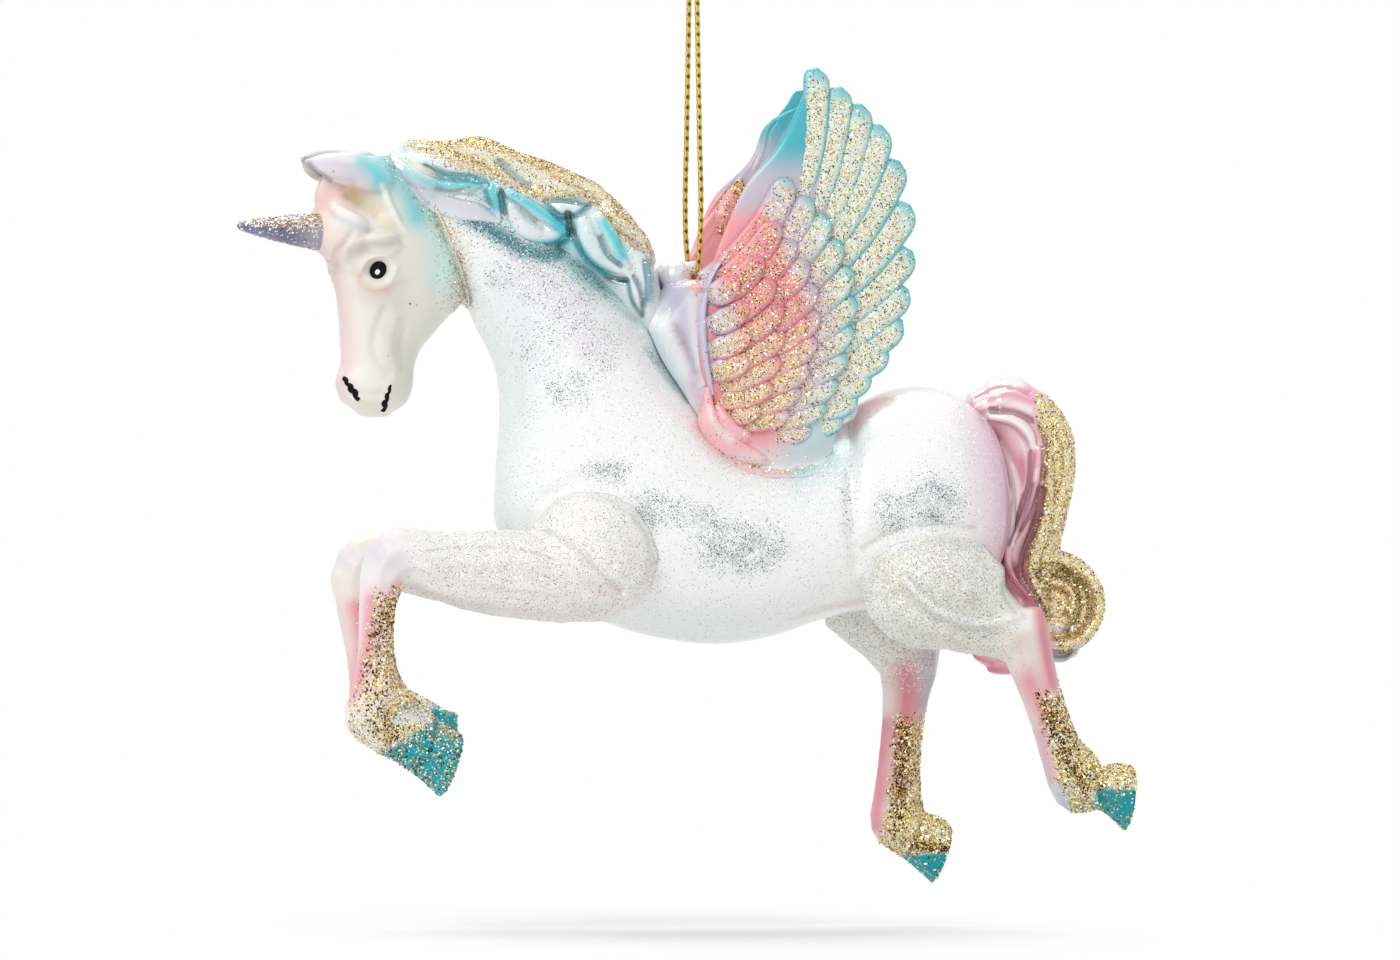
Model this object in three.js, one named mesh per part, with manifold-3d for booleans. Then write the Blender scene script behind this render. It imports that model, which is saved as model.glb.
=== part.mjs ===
// Winged unicorn glass ornament on a gold cord. Millimetres, +Z up. The animal faces -X, its left is -Y.
// The origin is the hanging point under the cord knot. Every outline is measured from the cord eye.
import * as THREE from "three";
import { mergeVertices } from "three/addons/utils/BufferGeometryUtils.js";
import Module from "manifold-3d";

const wasm = await Module();
wasm.setup();

// Driving sizes
const HANG_HEIGHT = 52; // cord eye up to the knot
const SEAT_GAP = 0.3; // glue line between two seated pieces
const GLASS_WALL = 1;
const SPIGOT_LENGTH = 5; // plug of the head inside the neck
const CORD_DIAMETER = 0.8;
const CORD_PLAY = 0.5; // clearance round the cord in its eye
const STRAND_SPREAD = 5.2; // distance between the two strands where they leave the eye
const KNOT_DIAMETER = 3.2;
const KNOT_TAIL = 5;
const HORN_LENGTH = 17.4;
const HORN_BASE = 6;
const HORN_TIP = 1.1;
const HORN_TENON = 2.4; // tenon diameter
const HORN_TENON_LENGTH = 3;
const HEAD_TURN = THREE.MathUtils.degToRad(25); // towards the animal's left
const HEAD_TILT = THREE.MathUtils.degToRad(3);
const EAR_CUP = 1.3; // depth of the ear hollow
const EAR_CUP_SHIFT = 2.6; // from the middle of the ear to the middle of its hollow
const FORELEG_TRACK = 21; // between the centres of the two forearms
const HIND_TRACK = 21.5;
const SHOULDER_CAP = 19.6; // diameter of the round cap on the chest
const THIGH_CAP_LENGTH = 21.2;
const THIGH_CAP_HEIGHT = 18;
const CAP_DEPTH = 12;
const SADDLE_PLATE = 1.2;
const SADDLE_LENGTH = 23;
const SADDLE_DROP = 15;
const WING_ROOT_SPACING = 16;
const WING_LEAN = THREE.MathUtils.degToRad(6); // outward from upright
const RIGHT_WING_SWEEP = THREE.MathUtils.degToRad(6.5); // the right wing leans further back
const RIGHT_WING_ADVANCE = 2.6; // and stands further forward
const RIGHT_WING_SIZE = 0.95;
const FEATHER_WIDTH = 4.6;
const FEATHER_DEPTH = 1.5;
const PRIMARY_LIFT = 0.4; // feather rows outward from the middle of the blade
const COVERT_LIFT = 1.5;
const SMALL_COVERT_LIFT = 2.1;
const FEATHER_STEP = 0.12; // every other feather lies this much higher
const PRIMARY_COUNT = 12;
const COVERT_COUNT = 9;
const SMALL_COVERT_COUNT = 7;
const SCROLL_RADIUS = 6.6; // centre line of the tail curl where it starts
const SCROLL_STRAND = 3.4; // thickness of the curled strand
const SCROLL_TURNS = 1.4;
const SCROLL_WIDTH = 9.2; // across the animal
const SCROLL_HEART = 7.2; // width of the filled middle of the curl
const RUMP_ROUND = 1.5; // depth of the rounded ends
const MANE_ROUND = 1;
const MUZZLE_ROUND = 0.6;
const LOCK_DEPTH = 3;
const WING_ROOT_DEPTH = 4; // below the middle of the saddle

// Outline ribs: [first edge x, z, second edge x, z, half width across the animal]
const BODY_RIBS = [
  [46.5, -29.5, 46, -39, 6],
  [43.5, -20.5, 43.5, -45.5, 11],
  [37.5, -16.5, 38, -48.5, 13.5],
  [31.5, -16, 31.5, -49, 14],
  [25.5, -18, 25, -48.5, 13.5],
  [20.5, -22, 19, -49.7, 12.5],
  [13, -23.5, 11.5, -52.1, 12.8],
  [5.5, -22, 3.5, -53.2, 13.2],
  [0.5, -18.5, -6.5, -52, 13.5],
  [-2.5, -15, -14.5, -49.4, 13.2],
  [-5, -11.5, -23.4, -44.4, 12.4],
  [-7, -7.5, -28.9, -36.5, 11.3],
  [-10, -3.5, -29, -28, 10.2],
  [-14, 1, -28.5, -20.5, 9.2],
  [-18.5, 5, -29, -14, 8.5],
  [-23.5, 8.5, -30.5, -10.3, 8],
  [-29.5, 12, -32, -7.4, 7.6],
  [-35.5, 15, -33, -5, 7.5],
  [-43, 16, -34, -3.5, 7.5],
];
const MANE_RIBS = [
  [-44.7, 17.3, -43.5, 14.5, 2.2],
  [-41.5, 19, -40, 12, 4.8],
  [-35.5, 19.6, -34.5, 9.5, 5.8],
  [-31.5, 20.1, -29.5, 6, 6.2],
  [-26, 18, -25, 4, 6.6],
  [-20, 16, -20, 1.5, 6.9],
  [-13.2, 12.4, -14.5, -2, 6.9],
  [-8, 6.8, -11, -6, 6],
  [-5.6, 1, -8, -8.5, 4.4],
  [-4.6, -3.5, -6, -10, 2.2],
];
// Locks of the mane: root x, z, tip x, z, half height and distance of the centre line from the middle
const MANE_LOCKS = [
  [-43, 15.5, -31, 13, 1.9, 6],
  [-33, 15, -20.5, 6.5, 2.6, 7.2],
  [-26, 13.5, -14, 6.5, 2, 7],
  [-19.5, 8, -10, 0, 2.4, 7.6],
  [-12, 3.5, -7.5, -6.5, 1.9, 6.2],
];
const TAIL_RIBS = [
  [41, -17, 42, -22, 3.4],
  [45.5, -15, 44.5, -23, 4.4],
  [51.7, -16.3, 45.5, -25, 4.8],
  [56.4, -22, 46.5, -29, 4.9],
  [57, -28, 46.5, -33.5, 4.9],
  [55.8, -34.5, 46.5, -38, 4.8],
  [54.8, -39, 45.5, -42.5, 4.8],
  [54.4, -45, 44, -47, 4.7],
  [55.2, -51.3, 42.5, -51.5, 4.5],
  [53.4, -56, 41.8, -55, 3.6],
  [48.8, -57.3, 44, -56.8, 1.6],
];
const SCROLL_CENTRE = [53.5, -47.9];
const HEAD_RIBS = [
  [-13, 10, -4, 10.5, 3],
  [-19.2, 6, 1, 9, 5],
  [-20.2, 2.2, 4, 4, 5.9],
  [-18.9, -3, 6, -1.5, 6.3],
  [-16.9, -6, 6, -6, 6.2],
  [-16.1, -9.5, 4.3, -10.5, 5.8],
  [-15.4, -13, 1, -14, 5.2],
  [-15.1, -16.5, -2.1, -17.2, 4.6],
  [-14.9, -19.4, -3.1, -20, 4.4],
  [-15.2, -21.9, -3.3, -22.3, 4.7],
  [-14.3, -24.4, -4.2, -24.7, 3.9],
  [-11.7, -26.4, -6.6, -26.3, 2.1],
];
const HEAD_JOINT = new THREE.Vector3(-38.9, 0, 6.5); // middle of the neck end
const EAR_RIBS = [
  [-9.5, 10.5, -9, 0.5, 1.6],
  [-13, 11.8, -12, 0.2, 2.3],
  [-17, 11, -16.5, 1.2, 2.4],
  [-20, 11.2, -19.8, 3.4, 2.1],
  [-22.6, 11.1, -22.4, 6.8, 1.5],
  [-24, 10.8, -23.8, 9.3, 0.8],
];
const EAR_SPACING = 12;
const EAR_TOE_IN = THREE.MathUtils.degToRad(18); // the ear tips lean towards each other
const EYE_PLACE = new THREE.Vector3(-13.6, 5.2, -5.3);
const EYE_BALL = 3.2;
const HORN_ROOT = new THREE.Vector3(-17.2, 0, -0.5);
const HORN_RISE = THREE.MathUtils.degToRad(3);
// Leg ribs run from the cap down to the sole: front or upper edge, back or lower edge, half width
const FORELEG_RIBS = [
  [-16.5, -35, -16, -49, 4.4],
  [-22.5, -36.8, -20, -50, 4.9],
  [-28.5, -36.6, -27.5, -49.5, 4.9],
  [-35.5, -36.8, -35.5, -48.3, 4.5],
  [-41.5, -36.8, -41.5, -46.2, 4],
  [-45.7, -36.2, -44.5, -44.8, 3.8],
  [-49.2, -37.8, -45.5, -45.3, 3.8],
  [-51, -41, -46, -46.5, 3.7],
  [-51.5, -45.5, -46.4, -47.7, 3.3],
  [-51.6, -51, -46.7, -51.5, 2.8],
  [-52, -56.5, -46.3, -56, 2.6],
  [-53, -60.5, -44.9, -59, 2.9],
  [-53.8, -64.2, -42.9, -61.2, 3.1],
  [-51.2, -67.3, -41.3, -62.5, 3.1],
  [-46.5, -69.7, -40.2, -63.7, 3.2],
  [-43.5, -71.7, -39.2, -64.5, 3.6],
  [-39.6, -75, -36.5, -66, 4.1],
];
const FORELEG_CAP = [-17.2, -40.3];
const FORELEG_KNEE = [-47, -43];
const RIGHT_KNEE_FLEX = THREE.MathUtils.degToRad(12); // the right shin is tucked further back
const RIGHT_FOREARM_SHARE = 0.84; // the right forearm is slimmer underneath
const RIGHT_FORELEG_DROP = THREE.MathUtils.degToRad(1.5); // and the right forearm hangs a little lower
const LEFT_HIND_RIBS = [
  [28.5, -37.5, 29, -51.5, 5.3],
  [34.5, -36.5, 35, -54, 5.4],
  [41, -38.5, 41, -55, 4.5],
  [46.2, -45.5, 44, -55.7, 3.7],
  [49.8, -48.5, 44.5, -56.8, 3.5],
  [50.8, -53.5, 45.5, -59, 3.2],
  [52, -59, 47, -62.5, 3],
  [53.5, -64, 48.5, -67, 2.8],
  [55.3, -67.5, 50, -72, 2.9],
  [57.6, -69.6, 51.5, -76, 3.2],
  [58.3, -71, 54.5, -77.8, 3.2],
  [59, -71, 57.5, -77.2, 3.3],
  [60.5, -70.6, 59.3, -78, 3.7],
  [63, -71, 61.9, -80.5, 4.1],
];
const RIGHT_HIND_RIBS = [
  [25, -44, 38, -44, 5],
  [21.8, -49.5, 39.7, -51.5, 5.2],
  [25.9, -53.5, 39.4, -55, 4.8],
  [30.4, -57.3, 38.9, -58, 4.2],
  [31, -62, 37.6, -62, 3.4],
  [30.6, -68, 36.6, -68, 2.9],
  [29.8, -74.5, 36.5, -74.5, 3],
  [29.1, -78.7, 37.2, -78, 3.2],
  [30, -82, 38.4, -78.5, 3.3],
  [33.8, -84.4, 39.4, -78.6, 3.5],
  [38.4, -88.4, 41, -80, 4],
];
const THIGH_PLACE = [33.2, -45.2];
// Wing outline, upright, measured from the eye: front edge x, z, rear edge x, z, half thickness
const WING_RIBS = [
  [3, -30, 15, -31, 2.2],
  [1, -24.5, 18, -27, 2.3],
  [0.5, -18, 20, -18.5, 2],
  [-1, -10.5, 23, -10, 1.7],
  [-1, -4, 25, -2, 1.4],
  [0, 0.5, 25, 6, 1.3],
  [2.4, 7.5, 23.5, 14, 1.2],
  [5.2, 13.5, 21, 20, 1.1],
  [9.6, 19, 18, 24.5, 1],
  [12.7, 25, 15, 27.5, 0.9],
];
// Feather rows as curves through their tips and their roots, from the top of the wing down
const PRIMARY_TIPS = [
  [14.6, 30.6], [20.4, 26.8], [26, 21.8], [28.8, 15.2], [30, 7.6],
  [29.6, -1], [27.5, -7.2], [23.9, -14.3], [18, -21.5],
];
const PRIMARY_ROOTS = [
  [10.5, 12.5], [13, 9], [15, 5.5], [16.5, 1.5], [16, -3.5], [13.5, -9], [11.5, -14], [8.5, -20],
];
const COVERT_TIPS = [[11.5, 15], [15, 10.5], [19, 3], [20.5, -3.5], [19.5, -9], [17.5, -15.5], [13, -22.5]];
const COVERT_ROOTS = [[6, 7], [8, 4.5], [9.5, 1.5], [10, -2.5], [9, -7.5], [7, -13], [5, -19]];
const SMALL_TIPS = [[6, 9.5], [9, 8], [12.5, 3], [14.5, -3.5], [13.5, -10], [11.5, -15.5], [8, -22]];
const SMALL_ROOTS = [[2, 2.5], [2.5, 0.5], [3.5, -2.5], [4, -6], [3, -10], [2.5, -13.5], [2.5, -18]];
// Fin between the wings that carries the cord eye
const FIN_RIBS = [
  [-0.5, -21, 16, -26, 2.5],
  [-0.7, -17, 15, -21, 2.4],
  [-1.2, -12, 10.5, -15.5, 2],
  [-2.6, -6, 6.5, -8.5, 1.7],
  [-3.4, -3, 4.5, -3.5, 1.6],
  [-4, 0.3, 2.3, 0.5, 1.5],
  [-1.2, 2.2, 1.4, 2.2, 1],
];
const SADDLE_CENTRE = [11.4, -21];
// Route of one strand from the eye to the knot: along the animal, share of half the spread, height
const STRAND_ROUTE = [
  [0, 0.06, 0],
  [0, 0.21, 0],
  [0, 0.38, 0.02],
  [0, 0.62, 0.15],
  [0.05, 0.83, 0.55],
  [0.1, 0.96, 1.1],
  [0.15, 1, 1.8],
  [0.3, 1, 3.5],
  [0.5, 0.98, 6],
  [0.6, 0.94, 9.5],
  [0.6, 0.88, 14],
  [0.5, 0.81, 19],
  [0.45, 0.73, 24.5],
  [0.4, 0.63, 30],
  [0.35, 0.54, 36],
  [0.3, 0.44, 42],
  [0.25, 0.35, 47.5],
  [0.2, 0.29, 51.7],
];

// Colours
const PEARL = { color: 0xe9ecee, roughness: 0.2, metalness: 0.35 };
const SILVER_TEAL = { color: 0x9fd8d8, roughness: 0.15, metalness: 0.3 };
const ROSE_GLASS = { color: 0xe88fa6, roughness: 0.15, metalness: 0.2 };
const IVORY = { color: 0xe6e0d6, roughness: 0.45, metalness: 0 };
const SLATE = { color: 0x77789a, roughness: 0.45, metalness: 0.1 };
const LEG_ROSE = { color: 0xe6b4b8, roughness: 0.45, metalness: 0 };
const WING_ROSE = { color: 0xd9a3ae, roughness: 0.4, metalness: 0.1 };
const LAVENDER = { color: 0xb9afc6, roughness: 0.35, metalness: 0.1 };
const GOLD_CORD = { color: 0xc2a341, roughness: 0.5, metalness: 0.6 };

const ornament = new THREE.Group();
ornament.position.z = -HANG_HEIGHT;
const cord = new THREE.Group();
cord.position.z = -HANG_HEIGHT;
const part = new THREE.Group();
part.add(ornament, cord);

function place(group, name, geometry, look) {
  const mesh = new THREE.Mesh(geometry, new THREE.MeshStandardMaterial(look));
  mesh.name = name;
  group.add(mesh);
}

// A closed geometry as a solid that can be joined and cut
function solid(geometry) {
  const bare = geometry.clone();
  bare.deleteAttribute("normal");
  bare.deleteAttribute("uv");
  const merged = mergeVertices(bare, 1e-4);
  const vertProperties = new Float32Array(merged.attributes.position.array);
  const triVerts = new Uint32Array(merged.index.array);
  return new wasm.Manifold(new wasm.Mesh({ numProp: 3, vertProperties, triVerts }));
}

function geometryOf(body) {
  const mesh = body.getMesh();
  const geometry = new THREE.BufferGeometry();
  geometry.setAttribute("position", new THREE.BufferAttribute(new Float32Array(mesh.vertProperties), 3));
  geometry.setIndex(new THREE.BufferAttribute(new Uint32Array(mesh.triVerts), 1));
  geometry.computeVertexNormals();
  return geometry;
}

// Smooth rings through the ribs: each ring has a centre, a half vector in the side view and a half width
function ringsThrough(ribs, count, side = 0) {
  const firsts = new THREE.CatmullRomCurve3(ribs.map((r) => new THREE.Vector3(r[0], side, r[1])));
  const seconds = new THREE.CatmullRomCurve3(ribs.map((r) => new THREE.Vector3(r[2], side, r[3])));
  const widths = new THREE.CatmullRomCurve3(ribs.map((r, i) => new THREE.Vector3(i, r[4], 0)));
  const rings = [];
  for (let i = 0; i < count; i += 1) {
    const t = i / (count - 1);
    const first = firsts.getPoint(t);
    const second = seconds.getPoint(t);
    const centre = first.clone().add(second).multiplyScalar(0.5);
    const half = second.clone().sub(first).multiplyScalar(0.5);
    rings.push({ centre, half, width: widths.getPoint(t).y });
  }
  return rings;
}

function shifted(ring, from, distance) {
  const along = ring.centre.clone().sub(from.centre).normalize();
  return { ...ring, centre: ring.centre.clone().addScaledVector(along, distance) };
}

// Rounds the last ring off over a length
function dome(rings, length) {
  const last = rings[rings.length - 1];
  const before = rings[rings.length - 2];
  const domed = [0.35, 0.65, 0.88].map((share) => {
    const scale = Math.sqrt(1 - share * share);
    const ring = shifted(last, before, length * share);
    return { centre: ring.centre, half: last.half.clone().multiplyScalar(scale), width: last.width * scale };
  });
  return [...rings, ...domed];
}

// Closed skin over rings of elliptical section, grown or shrunk by a distance
function skin(rings, sides, grow = 0) {
  const list = [...rings];
  if (grow !== 0) {
    list[0] = shifted(rings[0], rings[1], grow);
    list[list.length - 1] = shifted(rings[rings.length - 1], rings[rings.length - 2], grow);
  }
  const points = [];
  const faces = [];
  const across = new THREE.Vector3(0, 1, 0);
  for (const ring of list) {
    const reach = ring.half.length();
    const half = ring.half.clone().multiplyScalar((reach + grow) / reach);
    for (let k = 0; k < sides; k += 1) {
      const angle = (2 * Math.PI * k) / sides;
      const point = ring.centre.clone().addScaledVector(half, Math.cos(angle));
      point.addScaledVector(across, (ring.width + grow) * Math.sin(angle));
      points.push(point);
    }
  }
  for (let i = 0; i + 1 < list.length; i += 1) {
    for (let k = 0; k < sides; k += 1) {
      const a = i * sides + k;
      const b = i * sides + ((k + 1) % sides);
      faces.push(a, b, a + sides, b, b + sides, a + sides);
    }
  }
  const start = points.length;
  points.push(list[0].centre.clone(), list[list.length - 1].centre.clone());
  const lastRing = (list.length - 1) * sides;
  for (let k = 0; k < sides; k += 1) {
    const next = (k + 1) % sides;
    faces.push(start, next, k, start + 1, lastRing + k, lastRing + next);
  }
  return outward(points, faces);
}

// Builds a geometry whose faces point out
function outward(points, faces) {
  let volume = 0;
  for (let i = 0; i < faces.length; i += 3) {
    const [a, b, c] = [points[faces[i]], points[faces[i + 1]], points[faces[i + 2]]];
    volume += a.dot(b.clone().cross(c));
  }
  const index = [];
  for (let i = 0; i < faces.length; i += 3) {
    if (volume > 0) index.push(faces[i], faces[i + 1], faces[i + 2]);
    else index.push(faces[i], faces[i + 2], faces[i + 1]);
  }
  const geometry = new THREE.BufferGeometry().setFromPoints(points);
  geometry.setIndex(index);
  return geometry;
}

// The mirror image on the other side of the animal
function mirrored(geometry) {
  const flipped = geometry.clone().applyMatrix4(new THREE.Matrix4().makeScale(1, -1, 1));
  const index = flipped.index.array;
  for (let i = 0; i < index.length; i += 3) {
    [index[i + 1], index[i + 2]] = [index[i + 2], index[i + 1]];
  }
  return flipped;
}

function ellipsoid(x, y, z, rx, ry, rz, detail) {
  const ball = new THREE.SphereGeometry(1, detail, Math.round(detail * 0.6));
  return ball.scale(rx, ry, rz).translate(x, y, z);
}

// A leaf between two points of the side view, used for feathers and locks
function leaf(root, tip, side, halfWidth, halfDepth, sides, roundTip) {
  const along = new THREE.Vector3(tip[0] - root[0], 0, tip[1] - root[1]);
  const up = new THREE.Vector3(-along.z, 0, along.x).normalize();
  const shares = [0, 0.35, 0.8, 1];
  const widths = roundTip ? [0.45, 0.8, 1, 0.5] : [0.25, 0.9, 0.9, 0.2];
  const rings = shares.map((share, i) => ({
    centre: new THREE.Vector3(root[0], side, root[1]).addScaledVector(along, share),
    half: up.clone().multiplyScalar(halfWidth * widths[i]),
    width: halfDepth * Math.max(widths[i], 0.45),
  }));
  return skin(rings, sides);
}

// Glass body: one shell from rump to neck, open where the head plugs in
const BODY_SIDES = 20;
const NECK_TO_RUMP_RINGS = 34;
const bodyRings = dome(ringsThrough(BODY_RIBS, NECK_TO_RUMP_RINGS).reverse(), RUMP_ROUND).reverse();
const neckEnd = bodyRings[bodyRings.length - 1];
const neckBefore = bodyRings[bodyRings.length - 2];
const hollowEnd = shifted(neckEnd, neckBefore, 2 * GLASS_WALL + SPIGOT_LENGTH / 2);
const hollowRings = [...bodyRings.filter((ring, i) => i % 2 === 1), hollowEnd];
const bodyOuter = solid(skin(bodyRings, BODY_SIDES));
const bodyHollow = solid(skin(hollowRings, 14, -GLASS_WALL));
const seat = solid(skin(bodyRings, BODY_SIDES, SEAT_GAP));
place(ornament, "glass_body", geometryOf(bodyOuter.subtract(bodyHollow)), PEARL);

// Pose of the head: built facing -X round the neck joint, then tilted and turned
const headPose = new THREE.Matrix4().makeRotationZ(HEAD_TURN);
headPose.multiply(new THREE.Matrix4().makeRotationX(HEAD_TILT));
headPose.setPosition(HEAD_JOINT);
const HEAD_SIDES = 14;
const skullRings = dome(ringsThrough(HEAD_RIBS, 19), MUZZLE_ROUND);
const skullSeat = solid(skin(skullRings, HEAD_SIDES, SEAT_GAP).applyMatrix4(headPose));

// Mane: a crest with locks on both sides, seated on the neck and against the head
let mane = solid(skin(dome(ringsThrough(MANE_RIBS, 15), MANE_ROUND), 10));
for (const [rootX, rootZ, tipX, tipZ, halfHeight, side] of MANE_LOCKS) {
  for (const y of [-side, side]) {
    mane = mane.add(solid(leaf([rootX, rootZ], [tipX, tipZ], y, halfHeight, LOCK_DEPTH / 2, 6, false)));
  }
}
place(ornament, "glass_mane", geometryOf(mane.subtract(seat).subtract(skullSeat)), SILVER_TEAL);

// Tail: a falling mass of hair with a curl at its end
const scrollRings = [];
const SCROLL_STEPS = 20;
for (let i = 0; i <= SCROLL_STEPS; i += 1) {
  const share = i / SCROLL_STEPS;
  const angle = Math.PI / 2 + 0.3 - share * SCROLL_TURNS * 2 * Math.PI;
  const radius = SCROLL_RADIUS * (1 - 0.75 * share ** 1.6);
  const out = new THREE.Vector3(Math.cos(angle), 0, Math.sin(angle));
  scrollRings.push({
    centre: new THREE.Vector3(SCROLL_CENTRE[0], 0, SCROLL_CENTRE[1]).addScaledVector(out, radius),
    half: out.clone().multiplyScalar((SCROLL_STRAND / 2) * (1 - 0.45 * share)),
    width: (SCROLL_WIDTH / 2) * (1 + 0.17 * share),
  });
}
const curlHeart = ellipsoid(SCROLL_CENTRE[0], 0, SCROLL_CENTRE[1], SCROLL_RADIUS, SCROLL_HEART / 2,
  SCROLL_RADIUS, 12);
let tail = solid(skin(ringsThrough(TAIL_RIBS, 20), 12));
tail = tail.add(solid(skin(scrollRings, 8))).add(solid(curlHeart));
place(ornament, "glass_tail", geometryOf(tail.subtract(seat)), ROSE_GLASS);

// Head: skull, cupped ears and eyes, seated on the neck end
let skull = solid(skin(skullRings, HEAD_SIDES));
const ear = solid(skin(dome(ringsThrough(EAR_RIBS, 7, -EAR_SPACING / 2), 0.8), 10));
const earHollow = solid(skin(ringsThrough(EAR_RIBS, 7, -EAR_SPACING / 2 - EAR_CUP_SHIFT), 10, -EAR_CUP / 2));
const earRoot = new THREE.Vector3(EAR_RIBS[0][0], -EAR_SPACING / 2, 0);
const leftEar = geometryOf(ear.subtract(earHollow)).translate(-earRoot.x, -earRoot.y, 0);
leftEar.rotateZ(-EAR_TOE_IN).translate(earRoot.x, earRoot.y, 0);
skull = skull.add(solid(leftEar)).add(solid(mirrored(leftEar)));
for (const side of [-1, 1]) {
  const ball = EYE_BALL / 2;
  skull = skull.add(solid(ellipsoid(EYE_PLACE.x, side * EYE_PLACE.y, EYE_PLACE.z, ball, ball, ball, 8)));
}

// Horn: a slim cone with a tenon that sits in the forehead
function hornGeometry(grow) {
  const base = HORN_BASE / 2 + grow;
  const tenon = HORN_TENON / 2 + grow;
  const profile = [
    new THREE.Vector2(0, -HORN_TENON_LENGTH - grow),
    new THREE.Vector2(tenon, -HORN_TENON_LENGTH - grow),
    new THREE.Vector2(tenon, -grow),
    new THREE.Vector2(base, -grow),
    new THREE.Vector2(HORN_BASE * 0.36 + grow, HORN_LENGTH * 0.45),
    new THREE.Vector2(HORN_TIP / 2 + grow, HORN_LENGTH - 0.4),
    new THREE.Vector2(0, HORN_LENGTH + grow),
  ];
  const cone = new THREE.LatheGeometry(profile, 14);
  cone.rotateZ(Math.PI / 2).rotateY(HORN_RISE);
  return cone.translate(HORN_ROOT.x, HORN_ROOT.y, HORN_ROOT.z).applyMatrix4(headPose);
}

const spigotEnd = shifted(neckEnd, neckBefore, SPIGOT_LENGTH / 2);
const spigotStart = shifted(neckEnd, neckBefore, -SPIGOT_LENGTH);
const spigot = solid(skin([spigotStart, neckEnd, spigotEnd], 14, -GLASS_WALL - SEAT_GAP));
let head = solid(geometryOf(skull).applyMatrix4(headPose)).subtract(seat);
head = head.subtract(solid(hornGeometry(SEAT_GAP))).add(spigot);
place(ornament, "head", geometryOf(head), IVORY);
place(ornament, "horn", hornGeometry(0), SLATE);

// Legs: each is a cap on the body side and a limb down to a flat sole
function limb(ribs, track, capPlace, capLength, capHeight) {
  const side = -track / 2;
  const rings = ringsThrough(ribs, Math.round(ribs.length * 1.5), side);
  const cap = ellipsoid(capPlace[0], side, capPlace[1], capLength / 2, CAP_DEPTH / 2, capHeight / 2, 14);
  return geometryOf(solid(skin(rings, 10)).add(solid(cap)).subtract(seat));
}

// Turns the ribs of a limb about a point of the side view, from a given rib on
function bent(ribs, pivot, angle, from) {
  const turn = (x, z) => {
    const dx = x - pivot[0];
    const dz = z - pivot[1];
    const c = Math.cos(angle);
    const s = Math.sin(angle);
    return [pivot[0] + dx * c - dz * s, pivot[1] + dx * s + dz * c];
  };
  return ribs.map((r, i) => (i < from ? r : [...turn(r[0], r[1]), ...turn(r[2], r[3]), r[4]]));
}

const KNEE_RIB = 7;
const slimRibs = FORELEG_RIBS.map(([x, z, lowX, lowZ, width], i) => {
  const share = i > 1 && i < KNEE_RIB - 1 ? RIGHT_FOREARM_SHARE : 1;
  return [x, z, x + (lowX - x) * share, z + (lowZ - z) * share, width];
});
const tuckedRibs = bent(slimRibs, FORELEG_KNEE, RIGHT_KNEE_FLEX, KNEE_RIB);
const rightForeRibs = bent(tuckedRibs, FORELEG_CAP, RIGHT_FORELEG_DROP, 0);
const leftFore = limb(FORELEG_RIBS, FORELEG_TRACK, FORELEG_CAP, SHOULDER_CAP, SHOULDER_CAP);
const rightFore = limb(rightForeRibs, FORELEG_TRACK, FORELEG_CAP, SHOULDER_CAP, SHOULDER_CAP);
const leftHind = limb(LEFT_HIND_RIBS, HIND_TRACK, THIGH_PLACE, THIGH_CAP_LENGTH, THIGH_CAP_HEIGHT);
const rightHind = limb(RIGHT_HIND_RIBS, HIND_TRACK, THIGH_PLACE, THIGH_CAP_LENGTH, THIGH_CAP_HEIGHT);
place(ornament, "left_foreleg", leftFore, LEG_ROSE);
place(ornament, "right_foreleg", mirrored(rightFore), LEG_ROSE);
place(ornament, "left_hind_leg", leftHind, LEG_ROSE);
place(ornament, "right_hind_leg", mirrored(rightHind), LEG_ROSE);

// Saddle: a plate bent over the back, with the fin and its cord eye
const eyeDiameter = CORD_DIAMETER + 2 * CORD_PLAY;
const eyeHole = new THREE.CylinderGeometry(eyeDiameter / 2, eyeDiameter / 2, 2 * STRAND_SPREAD, 14);
const saddleEdge = new THREE.CylinderGeometry(1, 1, 4 * SADDLE_LENGTH, 24);
saddleEdge.scale(SADDLE_LENGTH / 2, 1, SADDLE_DROP / 2).translate(SADDLE_CENTRE[0], 0, SADDLE_CENTRE[1]);
const plate = solid(skin(bodyRings, BODY_SIDES, SEAT_GAP + SADDLE_PLATE)).intersect(solid(saddleEdge));
const fin = solid(skin(ringsThrough(FIN_RIBS, 13), 12));
const saddle = plate.add(fin).subtract(seat).subtract(solid(eyeHole));
place(ornament, "wing_saddle", geometryOf(saddle), LAVENDER);

// Wings: a thin blade with rows of overlapping feathers, leaning outward from the saddle
function featherRow(blade, tips, roots, count, side, widthShare) {
  const tipLine = new THREE.CatmullRomCurve3(tips.map(([x, z]) => new THREE.Vector3(x, 0, z)));
  const rootLine = new THREE.CatmullRomCurve3(roots.map(([x, z]) => new THREE.Vector3(x, 0, z)));
  let row = blade;
  for (let i = 0; i < count; i += 1) {
    const tip = tipLine.getPointAt(i / (count - 1));
    const root = rootLine.getPointAt(i / (count - 1));
    const lift = -side - FEATHER_STEP * (i % 2);
    const feather = leaf([root.x, root.z], [tip.x, tip.z], lift, (FEATHER_WIDTH / 2) * widthShare,
      FEATHER_DEPTH / 2, 6, true);
    row = row.add(solid(feather));
  }
  return row;
}

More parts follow.
